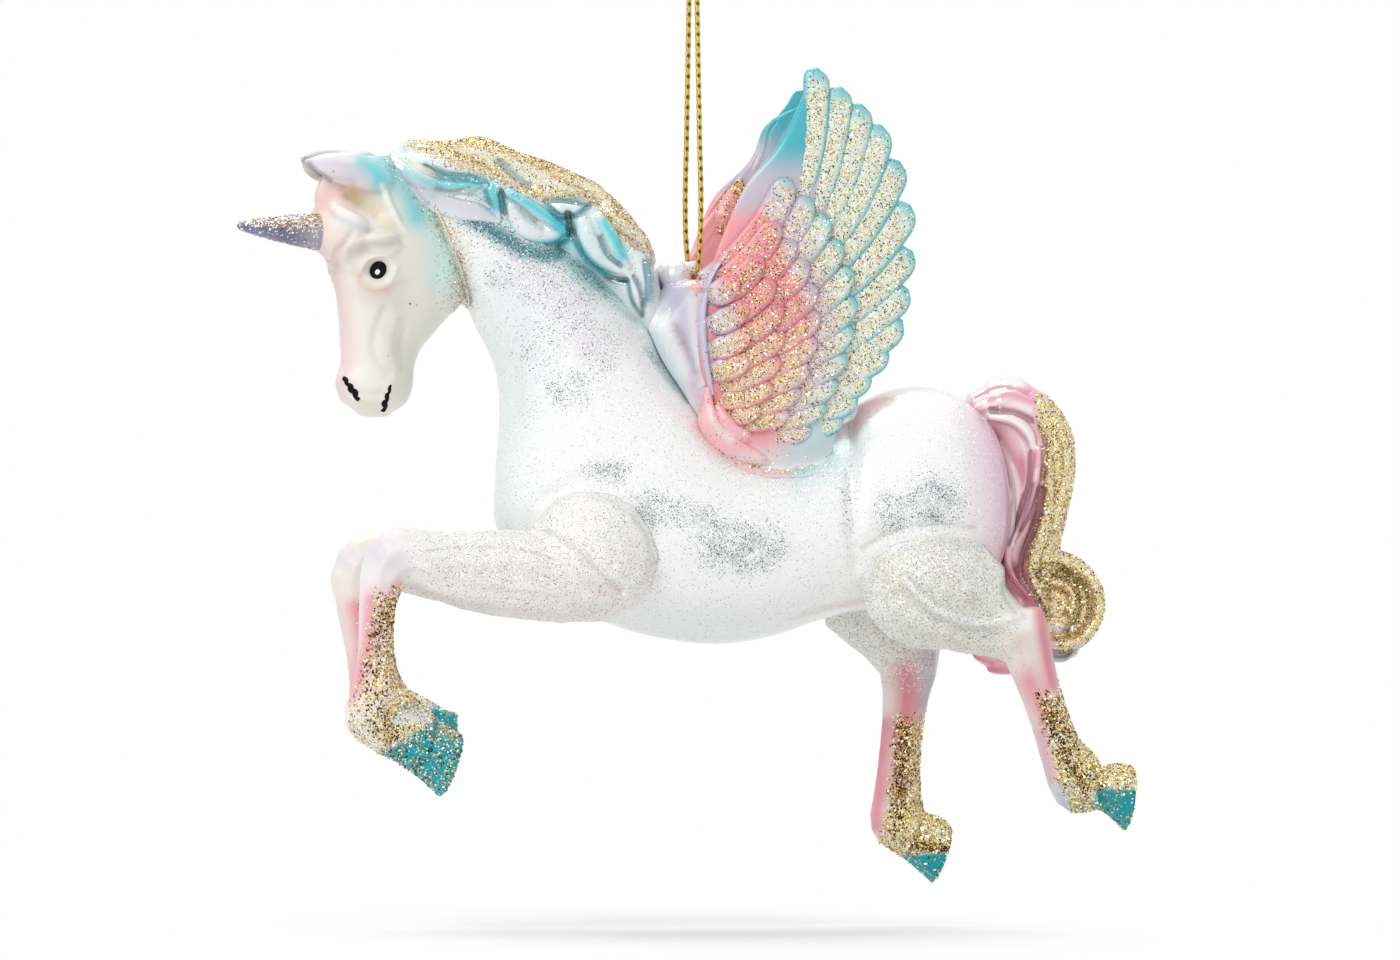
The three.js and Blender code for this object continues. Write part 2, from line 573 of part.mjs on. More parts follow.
let wing = solid(skin(ringsThrough(WING_RIBS, 14), 10));
wing = featherRow(wing, PRIMARY_TIPS, PRIMARY_ROOTS, PRIMARY_COUNT, PRIMARY_LIFT, 1);
wing = featherRow(wing, COVERT_TIPS, COVERT_ROOTS, COVERT_COUNT, COVERT_LIFT, 1);
wing = featherRow(wing, SMALL_TIPS, SMALL_ROOTS, SMALL_COVERT_COUNT, SMALL_COVERT_LIFT, 1.1);
// Pose of a wing: turned back and leaned outward about the middle of its root
const wingRoot = new THREE.Vector3(SADDLE_CENTRE[0], 0, SADDLE_CENTRE[1] - WING_ROOT_DEPTH);
function wingGeometry(sweep, advance, size) {
  const side = -WING_ROOT_SPACING / 2;
  const pose = new THREE.Matrix4().makeTranslation(wingRoot.x - advance, side, wingRoot.z);
  pose.multiply(new THREE.Matrix4().makeRotationX(WING_LEAN));
  pose.multiply(new THREE.Matrix4().makeRotationY(sweep));
  pose.multiply(new THREE.Matrix4().makeScale(size, size, size));
  pose.multiply(new THREE.Matrix4().makeTranslation(-wingRoot.x, 0, -wingRoot.z));
  return geometryOf(solid(geometryOf(wing).applyMatrix4(pose)).subtract(wingSeat));
}

const wingSeat = solid(skin(bodyRings, BODY_SIDES, 2 * SEAT_GAP + SADDLE_PLATE));
const rightWing = mirrored(wingGeometry(RIGHT_WING_SWEEP, RIGHT_WING_ADVANCE, RIGHT_WING_SIZE));
place(ornament, "left_wing", wingGeometry(0, 0, 1), WING_ROSE);
place(ornament, "right_wing", rightWing, WING_ROSE);

// Cord: two strands that meet in the eye and rise to the knot
function strandGeometry(side) {
  const out = (side * STRAND_SPREAD) / 2;
  const points = STRAND_ROUTE.map(([x, y, z]) => new THREE.Vector3(-side * x, out * y, z));
  const section = new THREE.Shape();
  for (let k = 0; k < 8; k += 1) {
    const angle = (2 * Math.PI * k) / 8;
    const x = (CORD_DIAMETER / 2) * Math.cos(angle);
    const y = (CORD_DIAMETER / 2) * Math.sin(angle);
    if (k === 0) section.moveTo(x, y);
    else section.lineTo(x, y);
  }
  section.closePath();
  const route = new THREE.CatmullRomCurve3(points);
  return new THREE.ExtrudeGeometry(section, { steps: 22, extrudePath: route, bevelEnabled: false });
}

place(cord, "cord_left_strand", strandGeometry(-1), GOLD_CORD);
place(cord, "cord_right_strand", strandGeometry(1), GOLD_CORD);
const knotRadius = KNOT_DIAMETER / 2;
const knotTop = HANG_HEIGHT + KNOT_DIAMETER;
let knot = solid(ellipsoid(0, 0, HANG_HEIGHT + knotRadius, knotRadius, knotRadius, knotRadius, 10));
for (const side of [-1, 1]) {
  const tailEnd = new THREE.CylinderGeometry(CORD_DIAMETER / 2, CORD_DIAMETER / 2, KNOT_TAIL + knotRadius, 8);
  tailEnd.rotateX(Math.PI / 2);
  tailEnd.translate(0, 0, (KNOT_TAIL - knotRadius) / 2);
  tailEnd.rotateX(side * 0.3).translate(0, 0, knotTop);
  knot = knot.add(solid(tailEnd));
}
place(cord, "cord_knot", geometryOf(knot), GOLD_CORD);

export default part;
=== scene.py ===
"""Winged unicorn ornament: glass body, mane and tail, cast head, horn, legs and wings, on a gold cord.

Shapes are worked out in millimetres from the cord eye and written to the frame in metres.
The animal faces -X and its left side, -Y, is the side that the photograph shows.
A line on the photograph is written as text: pixels "x,y" with spaces between them.
"""

import math

import bpy
import numpy as np
from mathutils import Matrix, Vector
from mathutils.bvhtree import BVHTree


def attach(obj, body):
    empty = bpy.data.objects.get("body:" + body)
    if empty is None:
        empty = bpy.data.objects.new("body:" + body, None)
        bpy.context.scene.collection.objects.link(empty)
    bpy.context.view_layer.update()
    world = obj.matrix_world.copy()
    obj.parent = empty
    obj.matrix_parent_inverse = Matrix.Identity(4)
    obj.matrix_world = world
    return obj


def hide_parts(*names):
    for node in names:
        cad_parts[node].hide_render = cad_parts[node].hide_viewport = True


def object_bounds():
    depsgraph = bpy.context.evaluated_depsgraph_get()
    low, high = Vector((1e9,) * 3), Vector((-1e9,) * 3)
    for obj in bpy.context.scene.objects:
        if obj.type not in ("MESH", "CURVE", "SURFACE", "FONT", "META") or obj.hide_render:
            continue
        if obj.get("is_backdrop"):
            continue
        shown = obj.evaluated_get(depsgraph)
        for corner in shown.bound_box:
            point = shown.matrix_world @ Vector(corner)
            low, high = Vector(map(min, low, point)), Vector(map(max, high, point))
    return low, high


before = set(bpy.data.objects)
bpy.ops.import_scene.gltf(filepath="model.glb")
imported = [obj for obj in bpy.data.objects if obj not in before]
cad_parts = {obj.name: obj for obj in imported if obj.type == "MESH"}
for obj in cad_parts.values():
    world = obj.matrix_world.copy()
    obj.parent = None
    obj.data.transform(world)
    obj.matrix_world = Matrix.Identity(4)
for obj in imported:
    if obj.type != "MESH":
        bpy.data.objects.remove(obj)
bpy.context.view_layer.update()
scene = bpy.context.scene
scene.view_settings.view_transform = "Standard"
rng = np.random.default_rng(11)

# The photograph: scale, the pixel of the cord eye and the direction of view
PIXEL = 0.145
EYE_PIXEL = (693, 277)
CENTRE_PIXEL = (700, 480)
FLOOR_PIXEL = 930
FRAME_WIDTH = 1400 * PIXEL
VIEW_TURN = math.radians(-13)
TO_RIGHT = np.array([math.cos(VIEW_TURN), math.sin(VIEW_TURN), 0])
TO_CAMERA = np.array([math.sin(VIEW_TURN), -math.cos(VIEW_TURN), 0])
CAMERA_DISTANCE = 2200
SENSOR_WIDTH = 36
HANG_HEIGHT = 52

target = TO_RIGHT * (CENTRE_PIXEL[0] - EYE_PIXEL[0]) * PIXEL
target[2] = (EYE_PIXEL[1] - CENTRE_PIXEL[1]) * PIXEL
viewpoint = target + TO_CAMERA * CAMERA_DISTANCE


def dots(line):
    """The pixels of a line, from text or from a list."""
    if isinstance(line, str):
        line = [pixel.split(",") for pixel in line.split()]
    return np.array(line, float)


def photo(points):
    """Pixels of the photograph where points show."""
    away = points - target
    scale = CAMERA_DISTANCE / (CAMERA_DISTANCE - away @ TO_CAMERA) / PIXEL
    across, down = away @ TO_RIGHT * scale, away[:, 2] * scale
    return np.stack([CENTRE_PIXEL[0] + across, CENTRE_PIXEL[1] - down], axis=1)


def sight(px, py):
    """The direction of the line of sight of a pixel."""
    aim = target + TO_RIGHT * (px - CENTRE_PIXEL[0]) * PIXEL
    aim[2] += (CENTRE_PIXEL[1] - py) * PIXEL
    return (aim - viewpoint) / np.linalg.norm(aim - viewpoint)


def at(px, py, y):
    """The point at a pixel, y to the animal's right."""
    step = sight(px, py)
    return viewpoint + step * (y - viewpoint[1]) / step[1]


def metres(points):
    return (np.asarray(points, float) - (0, 0, HANG_HEIGHT)) * 0.001


def from_metres(points):
    return np.asarray(points, float) * 1000 + (0, 0, HANG_HEIGHT)


def ease(low, high, value):
    """0 at low and 1 at high, with a soft step between them."""
    t = np.clip((value - low) / (high - low), 0, 1)
    return t * t * (3 - 2 * t)


def flip(points):
    return points * np.array([1, -1, 1])


def unit(vectors):
    return vectors / np.linalg.norm(vectors, axis=1)[:, None]


def placed(name, data):
    """A new object in the scene."""
    made = bpy.data.objects.new(name, data)
    scene.collection.objects.link(made)
    return made


# Camera at the photograph's angle
camera_data = bpy.data.cameras.new("camera")
camera_data.sensor_width = SENSOR_WIDTH
camera_data.lens = SENSOR_WIDTH * CAMERA_DISTANCE / FRAME_WIDTH
camera_data.clip_end = 20
camera = placed("camera", camera_data)
camera.location = Vector(metres(viewpoint))
camera.rotation_mode = "QUATERNION"
camera.rotation_quaternion = Vector(-TO_CAMERA).to_track_quat("-Z", "Y")
scene.camera = camera


# Curves and lofts
def curve(points, count):
    """A smooth curve through points, as many steps in each span."""
    p = np.asarray(points, float)
    p = np.vstack([2 * p[0] - p[1], p, 2 * p[-1] - p[-2]])
    spot = np.linspace(0, len(p) - 3 - 1e-9, count)
    i = spot.astype(int)
    t = (spot - i)[:, None]
    a, b, c, d = p[i], p[i + 1], p[i + 2], p[i + 3]
    steps = (b - a, c - b, d - c)
    before, here, after = (np.sqrt(np.linalg.norm(step, axis=1))[:, None] + 1e-9 for step in steps)
    start = ((b - a) / before - (c - a) / (before + here) + (c - b) / here) * here
    end = ((c - b) / here - (d - b) / (here + after) + (d - c) / after) * here
    return (b + start * t + (3 * (c - b) - 2 * start - end) * t**2
            + (2 * (b - c) + start + end) * t**3)


def smoothed(values, count):
    """A row of values filled in smoothly."""
    return curve(np.stack([np.arange(len(values)), values], axis=1), count)[:, 1]


def even(points, count):
    """Points at even distances along a smooth curve."""
    fine = curve(points, 40 * len(points))
    run = np.concatenate([[0], np.cumsum(np.linalg.norm(np.diff(fine, axis=0), axis=1))])
    goal = np.linspace(0, run[-1], count)
    return np.stack([np.interp(goal, run, fine[:, k]) for k in range(fine.shape[1])], axis=1)


def tapered(count, shares, values):
    """Values along a strand, given at shares of its length."""
    return np.interp(np.linspace(0, 1, count), shares, values)


def around(sides):
    return 2 * np.pi * np.arange(sides) / sides


def tube(path, side, out, across, rise):
    """Rings round a path: how far each point lies along side and along out."""
    return path[:, None, :] + side[:, None, :] * across[:, :, None] + out[:, None, :] * rise[:, :, None]


def loft(rings):
    """A closed skin over rings of points: corners, four-sided faces and three-sided faces."""
    rings = np.asarray(rings, float)
    count, sides, _ = rings.shape
    co = np.vstack([rings.reshape(-1, 3), rings[0].mean(0), rings[-1].mean(0)])
    i, k = np.meshgrid(np.arange(count - 1), np.arange(sides), indexing="ij")
    a = (i * sides + k).ravel()
    b = (i * sides + (k + 1) % sides).ravel()
    quads = np.stack([a, b, b + sides, a + sides], axis=1)
    k = np.arange(sides)
    after = (k + 1) % sides
    last = (count - 1) * sides
    low = np.stack([np.full(sides, count * sides), after, k], axis=1)
    high = np.stack([np.full(sides, count * sides + 1), last + k, last + after], axis=1)
    tris = np.vstack([low, high])
    corners = np.vstack([quads[:, :3], quads[:, [0, 2, 3]], tris])
    a, b, c = (co - co.mean(0))[corners].transpose(1, 0, 2)
    if (a * np.cross(b, c)).sum() < 0:
        quads, tris = quads[:, ::-1], tris[:, ::-1]
    return [co, quads, tris]


def rib_rings(ribs, count, sides, round_end=0.0):
    """Rings through ribs of two edges in the side view and a half width, as the frame's solids have them."""
    ribs = np.asarray(ribs, float)
    first = curve(ribs[:, 0:2], count)
    second = curve(ribs[:, 2:4], count)
    width = smoothed(ribs[:, 4], count)
    if round_end:
        step = (first[-1] + second[-1] - first[-2] - second[-2]) / 2
        step = step / np.linalg.norm(step)
        middle = (first[-1] + second[-1]) / 2
        half = (second[-1] - first[-1]) / 2
        share = np.sin(np.linspace(0.1, 1.5, 10))
        left = np.sqrt(1 - share**2)
        centre = middle + np.outer(share * round_end, step)
        first = np.vstack([first, centre - np.outer(left, half)])
        second = np.vstack([second, centre + np.outer(left, half)])
        width = np.concatenate([width, width[-1] * left])
    angle = around(sides)
    centre = (first + second) / 2
    half = (second - first) / 2
    rings = np.zeros((len(first), sides, 3))
    rings[:, :, 0] = centre[:, 0:1] + half[:, 0:1] * np.cos(angle)
    rings[:, :, 1] = width[:, None] * np.sin(angle)
    rings[:, :, 2] = centre[:, 1:2] + half[:, 1:2] * np.cos(angle)
    return rings


def ball(centre, radii, sides=40):
    turn = np.linspace(0.02, np.pi - 0.02, sides // 2)
    angle = around(sides)
    rings = np.zeros((len(turn), sides, 3))
    rings[:, :, 0] = np.cos(turn)[:, None]
    rings[:, :, 1] = np.sin(turn)[:, None] * np.cos(angle)
    rings[:, :, 2] = np.sin(turn)[:, None] * np.sin(angle)
    return loft(rings * np.asarray(radii, float) + np.asarray(centre, float))


def strand(path, out, half_width, half_depth, sides=16):
    """A flat strand along a path: out is the direction away from what it lies on."""
    path = np.asarray(path, float)
    along = unit(np.gradient(path, axis=0))
    side = unit(np.cross(along, np.broadcast_to(np.asarray(out, float), path.shape)))
    angle = around(sides)
    half_width = np.broadcast_to(half_width, len(path))[:, None]
    half_depth = np.broadcast_to(half_depth, len(path))[:, None]
    out = np.cross(side, along)
    return loft(tube(path, side, out, half_width * np.cos(angle), half_depth * np.sin(angle)))


class Clay:
    """A fine mesh that is smoothed, carved and painted before it becomes an object."""

    def __init__(self, co, quads, tris):
        self.co = np.asarray(co, float)
        self.quads = np.asarray(quads, int).reshape(-1, 4)
        self.tris = np.asarray(tris, int).reshape(-1, 3)
        pairs = [self.quads[:, [k, (k + 1) % 4]] for k in range(4)]
        pairs += [self.tris[:, [k, (k + 1) % 3]] for k in range(3)]
        self.edges = np.unique(np.sort(np.vstack(pairs), axis=1), axis=0)
        self.paint = np.ones((len(self.co), 3))
        self.masks = {}

    def shell(self):
        return [self.co, self.quads, self.tris]

    def spread(self, values):
        """The mean of each corner's neighbours."""
        a, b = self.edges.T
        size = len(self.co)
        count = np.bincount(a, minlength=size) + np.bincount(b, minlength=size)
        columns = []
        for k in range(values.shape[1]):
            total = np.bincount(a, values[b, k], size) + np.bincount(b, values[a, k], size)
            columns.append(total / np.maximum(count, 1))
        return np.stack(columns, axis=1)

    def smooth(self, rounds):
        """Evens out lumps without shrinking."""
        for _ in range(rounds):
            for share in (0.5, -0.53):
                self.co = self.co + share * (self.spread(self.co) - self.co)
        return self

    def normals(self):
        c, q, t = self.shell()
        quad = np.cross(c[q[:, 2]] - c[q[:, 0]], c[q[:, 3]] - c[q[:, 1]])
        tri = np.cross(c[t[:, 1]] - c[t[:, 0]], c[t[:, 2]] - c[t[:, 0]])
        out = np.zeros_like(c)
        for k in range(3):
            for faces, across in ((q, quad), (t, tri)):
                for corner in faces.T:
                    out[:, k] += np.bincount(corner, across[:, k], len(c))
        return out / np.maximum(np.linalg.norm(out, axis=1), 1e-12)[:, None]

    def push(self, distance):
        self.co = self.co + self.normals() * np.broadcast_to(distance, len(self.co))[:, None]
        return self

    def views(self, mirror=flip):
        """Pixels and facing of each corner, seen from the photograph's side and from the mirrored one."""
        n = self.normals()
        seen = [(photo(self.co), ease(-0.05, 0.35, n @ TO_CAMERA))]
        if mirror:
            step = mirror(self.co + n) - mirror(self.co)
            seen.append((photo(mirror(self.co)), ease(-0.05, 0.35, step @ TO_CAMERA)))
        return seen

    def carve(self, strokes, mirror=flip, only_mirror=False):
        """Presses lines into the surface or raises them: each has pixels, a width in pixels and a height."""
        total = np.zeros(len(self.co))
        seen = self.views(mirror)
        for pixels, facing in seen[1:] if only_mirror else seen:
            for line, width, height in strokes:
                total += height * facing * near(pixels, line, width)
        return self.push(total)

    def tree(self):
        return BVHTree.FromPolygons([Vector(p) for p in self.co], self.quads.tolist() + self.tris.tolist())

    def tint(self, code, weight=1):
        """Paints with a web colour."""
        weight = np.clip(np.broadcast_to(weight, len(self.co)), 0, 1)[:, None]
        self.paint = self.paint * (1 - weight) + colour(code) * weight
        return self

    def mask(self, name, weight):
        self.masks[name] = np.clip(np.maximum(self.masks.get(name, 0), weight), 0, 1)
        return self

    def object(self, name, material, nodes=(), slot=None, body="ornament"):
        mesh = bpy.data.meshes.new(name)
        mesh.from_pydata(metres(self.co).tolist(), [], self.quads.tolist() + self.tris.tolist())
        mesh.polygons.foreach_set("use_smooth", np.ones(len(mesh.polygons), bool))
        paint = mesh.attributes.new("paint", "FLOAT_COLOR", "POINT")
        rgba = np.hstack([self.paint, np.ones((len(self.co), 1))])
        paint.data.foreach_set("color", rgba.astype(np.float32).ravel())
        for key, values in self.masks.items():
            layer = mesh.attributes.new(key, "FLOAT", "POINT")
            layer.data.foreach_set("value", np.broadcast_to(values, len(self.co)).astype(np.float32))
        mesh.materials.append(material)
        mesh.update()
        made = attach(placed(name, mesh), body)
        if nodes:
            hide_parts(*nodes)
        return made


def line_distance(pixels, line):
    """Distance in pixels from each corner to a line of pixels, smoothed."""
    line = dots(line)
    if len(line) == 1:
        line = np.vstack([line, line])
    if len(line) > 2:
        line = curve(line, 6 * len(line))
    best = np.full(len(pixels), 1e9)
    for a, b in zip(line[:-1], line[1:]):
        step = b - a
        t = np.clip(((pixels - a) @ step) / max(step @ step, 1e-9), 0, 1)
        best = np.minimum(best, np.linalg.norm(pixels - a - t[:, None] * step, axis=1))
    return best


def near(pixels, line, width):
    """1 on a line of pixels, falling off over a width."""
    return np.exp(-(line_distance(pixels, line) / width) ** 2)


def spot(pixels, centre, radii):
    """1 at the middle of a soft oval, 0 outside it."""
    away = np.linalg.norm((pixels - np.asarray(centre, float)) / np.asarray(radii, float), axis=1)
    return 1 - ease(0.35, 1.0, away)


def beyond(pixels, line, soft):
    """1 to the right of a line of pixels that runs down the picture, 0 to its left."""
    line = dots(line)
    return ease(-soft, soft, pixels[:, 0] - np.interp(pixels[:, 1], line[:, 1], line[:, 0]))


def brush(clay, pixels, rows):
    """Paint along lines of pixels: web colour, share, width in pixels and the line."""
    for code, share, width, line in rows:
        clay.tint(code, share * near(pixels, line, width))


def fold(points):
    """Both sides of the animal laid over the side that the photograph shows."""
    return np.stack([points[:, 0], -np.abs(points[:, 1]), points[:, 2]], axis=1)


def changed(shell, change, mirrored=False):
    """A shell with its corners changed. Mirroring turns its faces over."""
    turn = slice(None, None, -1 if mirrored else None)
    return [change(shell[0]), shell[1][:, turn], shell[2][:, turn]]


def mirror_shell(shell):
    return changed(shell, flip, True)


def joined(shells):
    co, quads, tris, start = [], [], [], 0
    for c, q, t in shells:
        co.append(c)
        quads.append(np.asarray(q, int).reshape(-1, 4) + start)
        tris.append(np.asarray(t, int).reshape(-1, 3) + start)
        start += len(c)
    return np.vstack(co), np.vstack(quads), np.vstack(tris)


def read(items, key, width=1, kind=float):
    """A value of each of a mesh's items, as rows of a width."""
    values = np.zeros(len(items) * width, kind)
    items.foreach_get(key, values)
    return values.reshape(-1, width) if width > 1 else values


def node_shell(name):
    """The corners and faces of a solid of the frame."""
    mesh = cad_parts[name].data
    co = from_metres(read(mesh.vertices, "co", 3))
    _, first, back = np.unique(np.round(co, 3), axis=0, return_index=True, return_inverse=True)
    mesh.calc_loop_triangles()
    tris = read(mesh.loop_triangles, "vertices", 3, int)
    return [co[first], np.zeros((0, 4), int), back.ravel()[tris]]


# How fine the skins of joined pieces are
VOXEL = {"head": 0.22, "mane": 0.22, "leg": 0.27, "tail": 0.24, "saddle": 0.25}


def union(shells, voxel):
    """One skin over overlapping closed shells."""
    co, quads, tris = joined(shells)
    mesh = bpy.data.meshes.new("union")
    mesh.from_pydata(co.tolist(), [], quads.tolist() + tris.tolist())
    made = placed("union", mesh)
    remesh = made.modifiers.new("remesh", "REMESH")
    remesh.mode = "VOXEL"
    remesh.voxel_size = voxel
    done = made.evaluated_get(bpy.context.evaluated_depsgraph_get()).data
    sizes = read(done.polygons, "loop_total", kind=int)
    corners = read(done.loops, "vertex_index", kind=int)
    starts = np.concatenate([[0], np.cumsum(sizes)[:-1]])
    quads, tris = (corners[starts[sizes == n][:, None] + np.arange(n)] for n in (4, 3))
    clay = Clay(read(done.vertices, "co", 3), quads, tris)
    bpy.data.objects.remove(made)
    bpy.data.meshes.remove(mesh)
    return clay


# Materials
WHITE = (1, 1, 1, 1)
BUMP_SIZE = 0.6
FLAKE_EDGE = 0.55
FLAKE_ROUGHNESS = 0.3
GOLD_FLAKES = ["3a2c14", "8f7430", "c9a84e", "e2c878", "f4e7b4", "fff8e0"]
SILVER_FLAKES = ["6d777b", "aab2b6", "cfd5d8", "f2f5f6", "ffffff", "ffffff"]
PEARL_FLAKES = ["b3b0ab", "d6d3cf", "eee4e5", "e8f1ee", "ffffff", "ffffff"]
MIRROR_FLAKES = ["33393e", "5d676b", "8b9598", "b5bcbf", "dfe3e5", "ffffff"]
OLIVE_FLAKES = ["918f7e", "bdbbaa", "e2dfd6", "dfeae3", "ffffff", "ffffff"]
TEAL_FLAKES = ["17505b", "2b6f7b", "3f8a95", "5fa5ac", "a9d3d6", "e9f7f7"]


def colour(code):
    """Linear colour of a six-digit web colour."""
    parts = np.array([int(code[k:k + 2], 16) for k in (0, 2, 4)]) / 255
    return np.where(parts <= 0.04045, parts / 12.92, ((parts + 0.055) / 1.055) ** 2.4)


class Graph:
    """The nodes of a material or world, with short calls for the ones used here."""

    def __init__(self, owner):
        self.owner = owner
        owner.use_nodes = True
        self.nodes = owner.node_tree.nodes
        self.links = owner.node_tree.links
        self.place = self.node("TexCoord").outputs["Object"]

    def feed(self, socket, value):
        if isinstance(value, bpy.types.NodeSocket):
            self.links.new(value, socket)
        else:
            short = socket.type == "RGBA" and len(value) == 3
            socket.default_value = (*value, 1) if short else value

    def node(self, kind, inputs=(), **settings):
        made = self.nodes.new("ShaderNode" + kind)
        for key, value in settings.items():
            setattr(made, key, value)
        for key, value in dict(inputs).items():
            if value is not None:
                self.feed(made.inputs[key], value)
        return made

    def math(self, kind, *values):
        return self.node("Math", enumerate(values), operation=kind).outputs[0]

    def blend(self, factor, a, b):
        return self.node("Mix", {0: factor, 2: a, 3: b}).outputs[0]

    def mix(self, factor, a, b):
        return self.node("Mix", {0: factor, 6: a, 7: b}, data_type="RGBA").outputs[2]

    def vector(self, kind, a, b=None, scale=None):
        return self.node("VectorMath", {0: a, 1: b, "Scale": scale}, operation=kind).outputs[0]

    def attribute(self, name, output="Fac"):
        return self.node("Attribute", attribute_name=name).outputs[output]

    def noise(self, size, detail=3.0):
        inputs = {"Vector": self.place, "Scale": 1000 / size, "Detail": detail}
        return self.node("TexNoise", inputs).outputs["Fac"]

    def cells(self, size):
        made = self.node("TexVoronoi", {"Vector": self.place, "Scale": 1000 / size})
        return made.outputs["Distance"], made.outputs["Color"]

    def ramp(self, factor, codes):
        made = self.node("ValToRGB", {0: factor})
        made.color_ramp.interpolation = "CONSTANT"
        points = made.color_ramp.elements
        for k, code in enumerate(codes):
            point = points[k] if k < 2 else points.new(0.5)
            point.position = k / len(codes)
            point.color = (*colour(code), 1)
        return made.outputs[0]

    def set(self, **values):
        """Feeds the main shader's sockets."""
        for key, value in values.items():
            self.feed(self.nodes["Principled BSDF"].inputs[key.replace("_", " ")], value)
        return self

    def shown(self):
        """1 for rays that show the background itself, 0 for rays that carry its light."""
        path = self.node("LightPath").outputs
        either = self.math("MAXIMUM", path["Is Camera Ray"], path["Is Glossy Ray"])
        return self.math("MAXIMUM", either, path["Is Transmission Ray"])

    def surface(self, output, factor, lit, plain):
        """A plain shader where factor is 1 and a lit one where it is 0."""
        mixed = self.node("MixShader", {0: factor, 1: lit.outputs[0], 2: plain.outputs[0]})
        self.links.new(mixed.outputs[0], self.nodes[output].inputs["Surface"])


def new_graph(name):
    return Graph(bpy.data.materials.new(name))


def painted(name, roughness, metallic, coat, dust, dapple=0.06, bump=0.0, scatter=0.0, rim=0.0, gloss=0.5):
    """A painted surface with glitter dust, with painted shade that darkens glass towards its rim.

    Each dust has a mask, a flake size, tones, a tilt, a share and how metallic it is.
    """
    g = new_graph(name)
    tone = g.math("MULTIPLY_ADD", g.noise(5.0), dapple * 2, 1 - dapple)
    # Painted shade at the rim: the base colour darkens as the surface turns edge-on to the view.
    if rim:
        edge = g.math("POWER", g.node("LayerWeight", {"Blend": 0.5}).outputs["Facing"], 2.2)
        tone = g.math("SUBTRACT", tone, g.math("MULTIPLY", edge, rim))
    base = g.vector("SCALE", g.attribute("paint", "Color"), scale=tone)
    metal = metallic
    rough = g.math("MULTIPLY_ADD", g.noise(1.6), roughness * 0.5, roughness * 0.75)
    normal = g.node("NewGeometry").outputs["Normal"]
    if bump:
        height = g.noise(BUMP_SIZE, 4.0)
        normal = g.node("Bump", {"Distance": bump * 0.001, "Height": height}).outputs["Normal"]
    for mask, size, tones, tilt, share, shine in dust:
        distance, random = g.cells(size)
        parts = g.node("SeparateColor", {0: random}).outputs
        flake = g.math("LESS_THAN", parts[0], g.math("MULTIPLY", g.attribute(mask), share))
        flake = g.math("MULTIPLY", flake, g.math("LESS_THAN", distance, FLAKE_EDGE))
        base = g.mix(flake, base, g.ramp(parts[1], tones))
        metal = g.math("MAXIMUM", metal, g.math("MULTIPLY", flake, shine))
        rough = g.blend(flake, rough, FLAKE_ROUGHNESS)
        lean = g.vector("SUBTRACT", random, (0.5, 0.5, 0.5))
        lean = g.vector("SCALE", lean, scale=g.math("MULTIPLY", flake, tilt))
        normal = g.vector("NORMALIZE", g.vector("ADD", normal, lean))
    g.set(Base_Color=base, Metallic=metal, Roughness=rough, Normal=normal)
    g.set(Coat_Weight=coat, Coat_Roughness=0.05, Specular_IOR_Level=gloss)
    if scatter:
        g.set(Subsurface_Weight=scatter, Subsurface_Scale=0.001, Subsurface_Radius=(1.0, 0.7, 0.6))
    return g.owner


def speckled(name, size, dark, light, **finish):
    """A plain finish in two shades."""
    g = new_graph(name)
    return g.set(Base_Color=g.mix(g.noise(size), dark, light), **finish).owner


GOLD_DUST = ("gold_dust", 0.2, GOLD_FLAKES, 1.0, 1.0, 0.9)
HORN_FLAKES = SILVER_FLAKES[1:] + GOLD_FLAKES[3:]
# The glass finishes get painted rim shade through rim.
pearl = painted("pearl_glass", 0.3, 0.1, 0.6, dapple=0.03, rim=0.13, dust=[
    ("frost", 0.18, PEARL_FLAKES, 0.8, 0.8, 0.4),
    # Mirror flakes for the painted dark reflections on the body.
    ("silver", 0.17, MIRROR_FLAKES, 0.9, 1.0, 0.8),
    ("teal_dust", 0.2, TEAL_FLAKES, 0.9, 1.0, 0.7),
])
mane_glass = painted("mane_glass", 0.09, 0.2, 1.0, dapple=0.02, rim=0.1, dust=[
    GOLD_DUST, ("frost", 0.2, SILVER_FLAKES, 0.9, 0.8, 0.6),
])
tail_glass = painted("tail_glass", 0.09, 0.3, 1.0, dapple=0.02, rim=0.22, dust=[GOLD_DUST])
cast = painted("cast_paint", 0.4, 0.0, 0.15, bump=0.02, scatter=0.2, gloss=0.25, dust=[
    ("frost", 0.18, OLIVE_FLAKES, 0.8, 0.9, 0.4), GOLD_DUST,
])
wing_cast = painted("wing_paint", 0.38, 0.05, 0.35, bump=0.03, dust=[GOLD_DUST])
horn_cast = painted("horn_paint", 0.4, 0.15, 0.3, bump=0.03, dust=[
    ("gold_dust", 0.22, HORN_FLAKES, 1.0, 1.0, 0.8),
])
saddle_cast = painted("saddle_paint", 0.2, 0.1, 0.9, dapple=0.03, dust=[GOLD_DUST])
black = speckled("black_enamel", 1.5, (0.003, 0.003, 0.004), (0.008, 0.007, 0.008),
                 Roughness=0.5, Specular_IOR_Level=0.12)
# White paint for the eyes' painted catchlights.
white = speckled("catchlight_white", 1.0, (0.85, 0.85, 0.84), (0.95, 0.95, 0.95), Roughness=0.3)

# Loose flakes: web colour and roughness of each kind
FLAKE_KINDS = {
    "pale": ("fbf1cc", 0.25), "light": ("f0d684", 0.25), "gold": ("d8aa3e", 0.28),
    "bronze": ("86591a", 0.3), "dark": ("43260f", 0.4), "silver": ("f1f3f3", 0.2),
}
FLAKE_SIDES = 6
FLAKE_TILT = 0.45
flake_metals = {}
for kind, (code, roughness) in FLAKE_KINDS.items():
    shades = colour(code) * 0.85, np.minimum(colour(code) * 1.15, 1)
    flake_metals[kind] = speckled("flake_" + kind, 0.8, *shades, Metallic=1.0, Roughness=roughness)


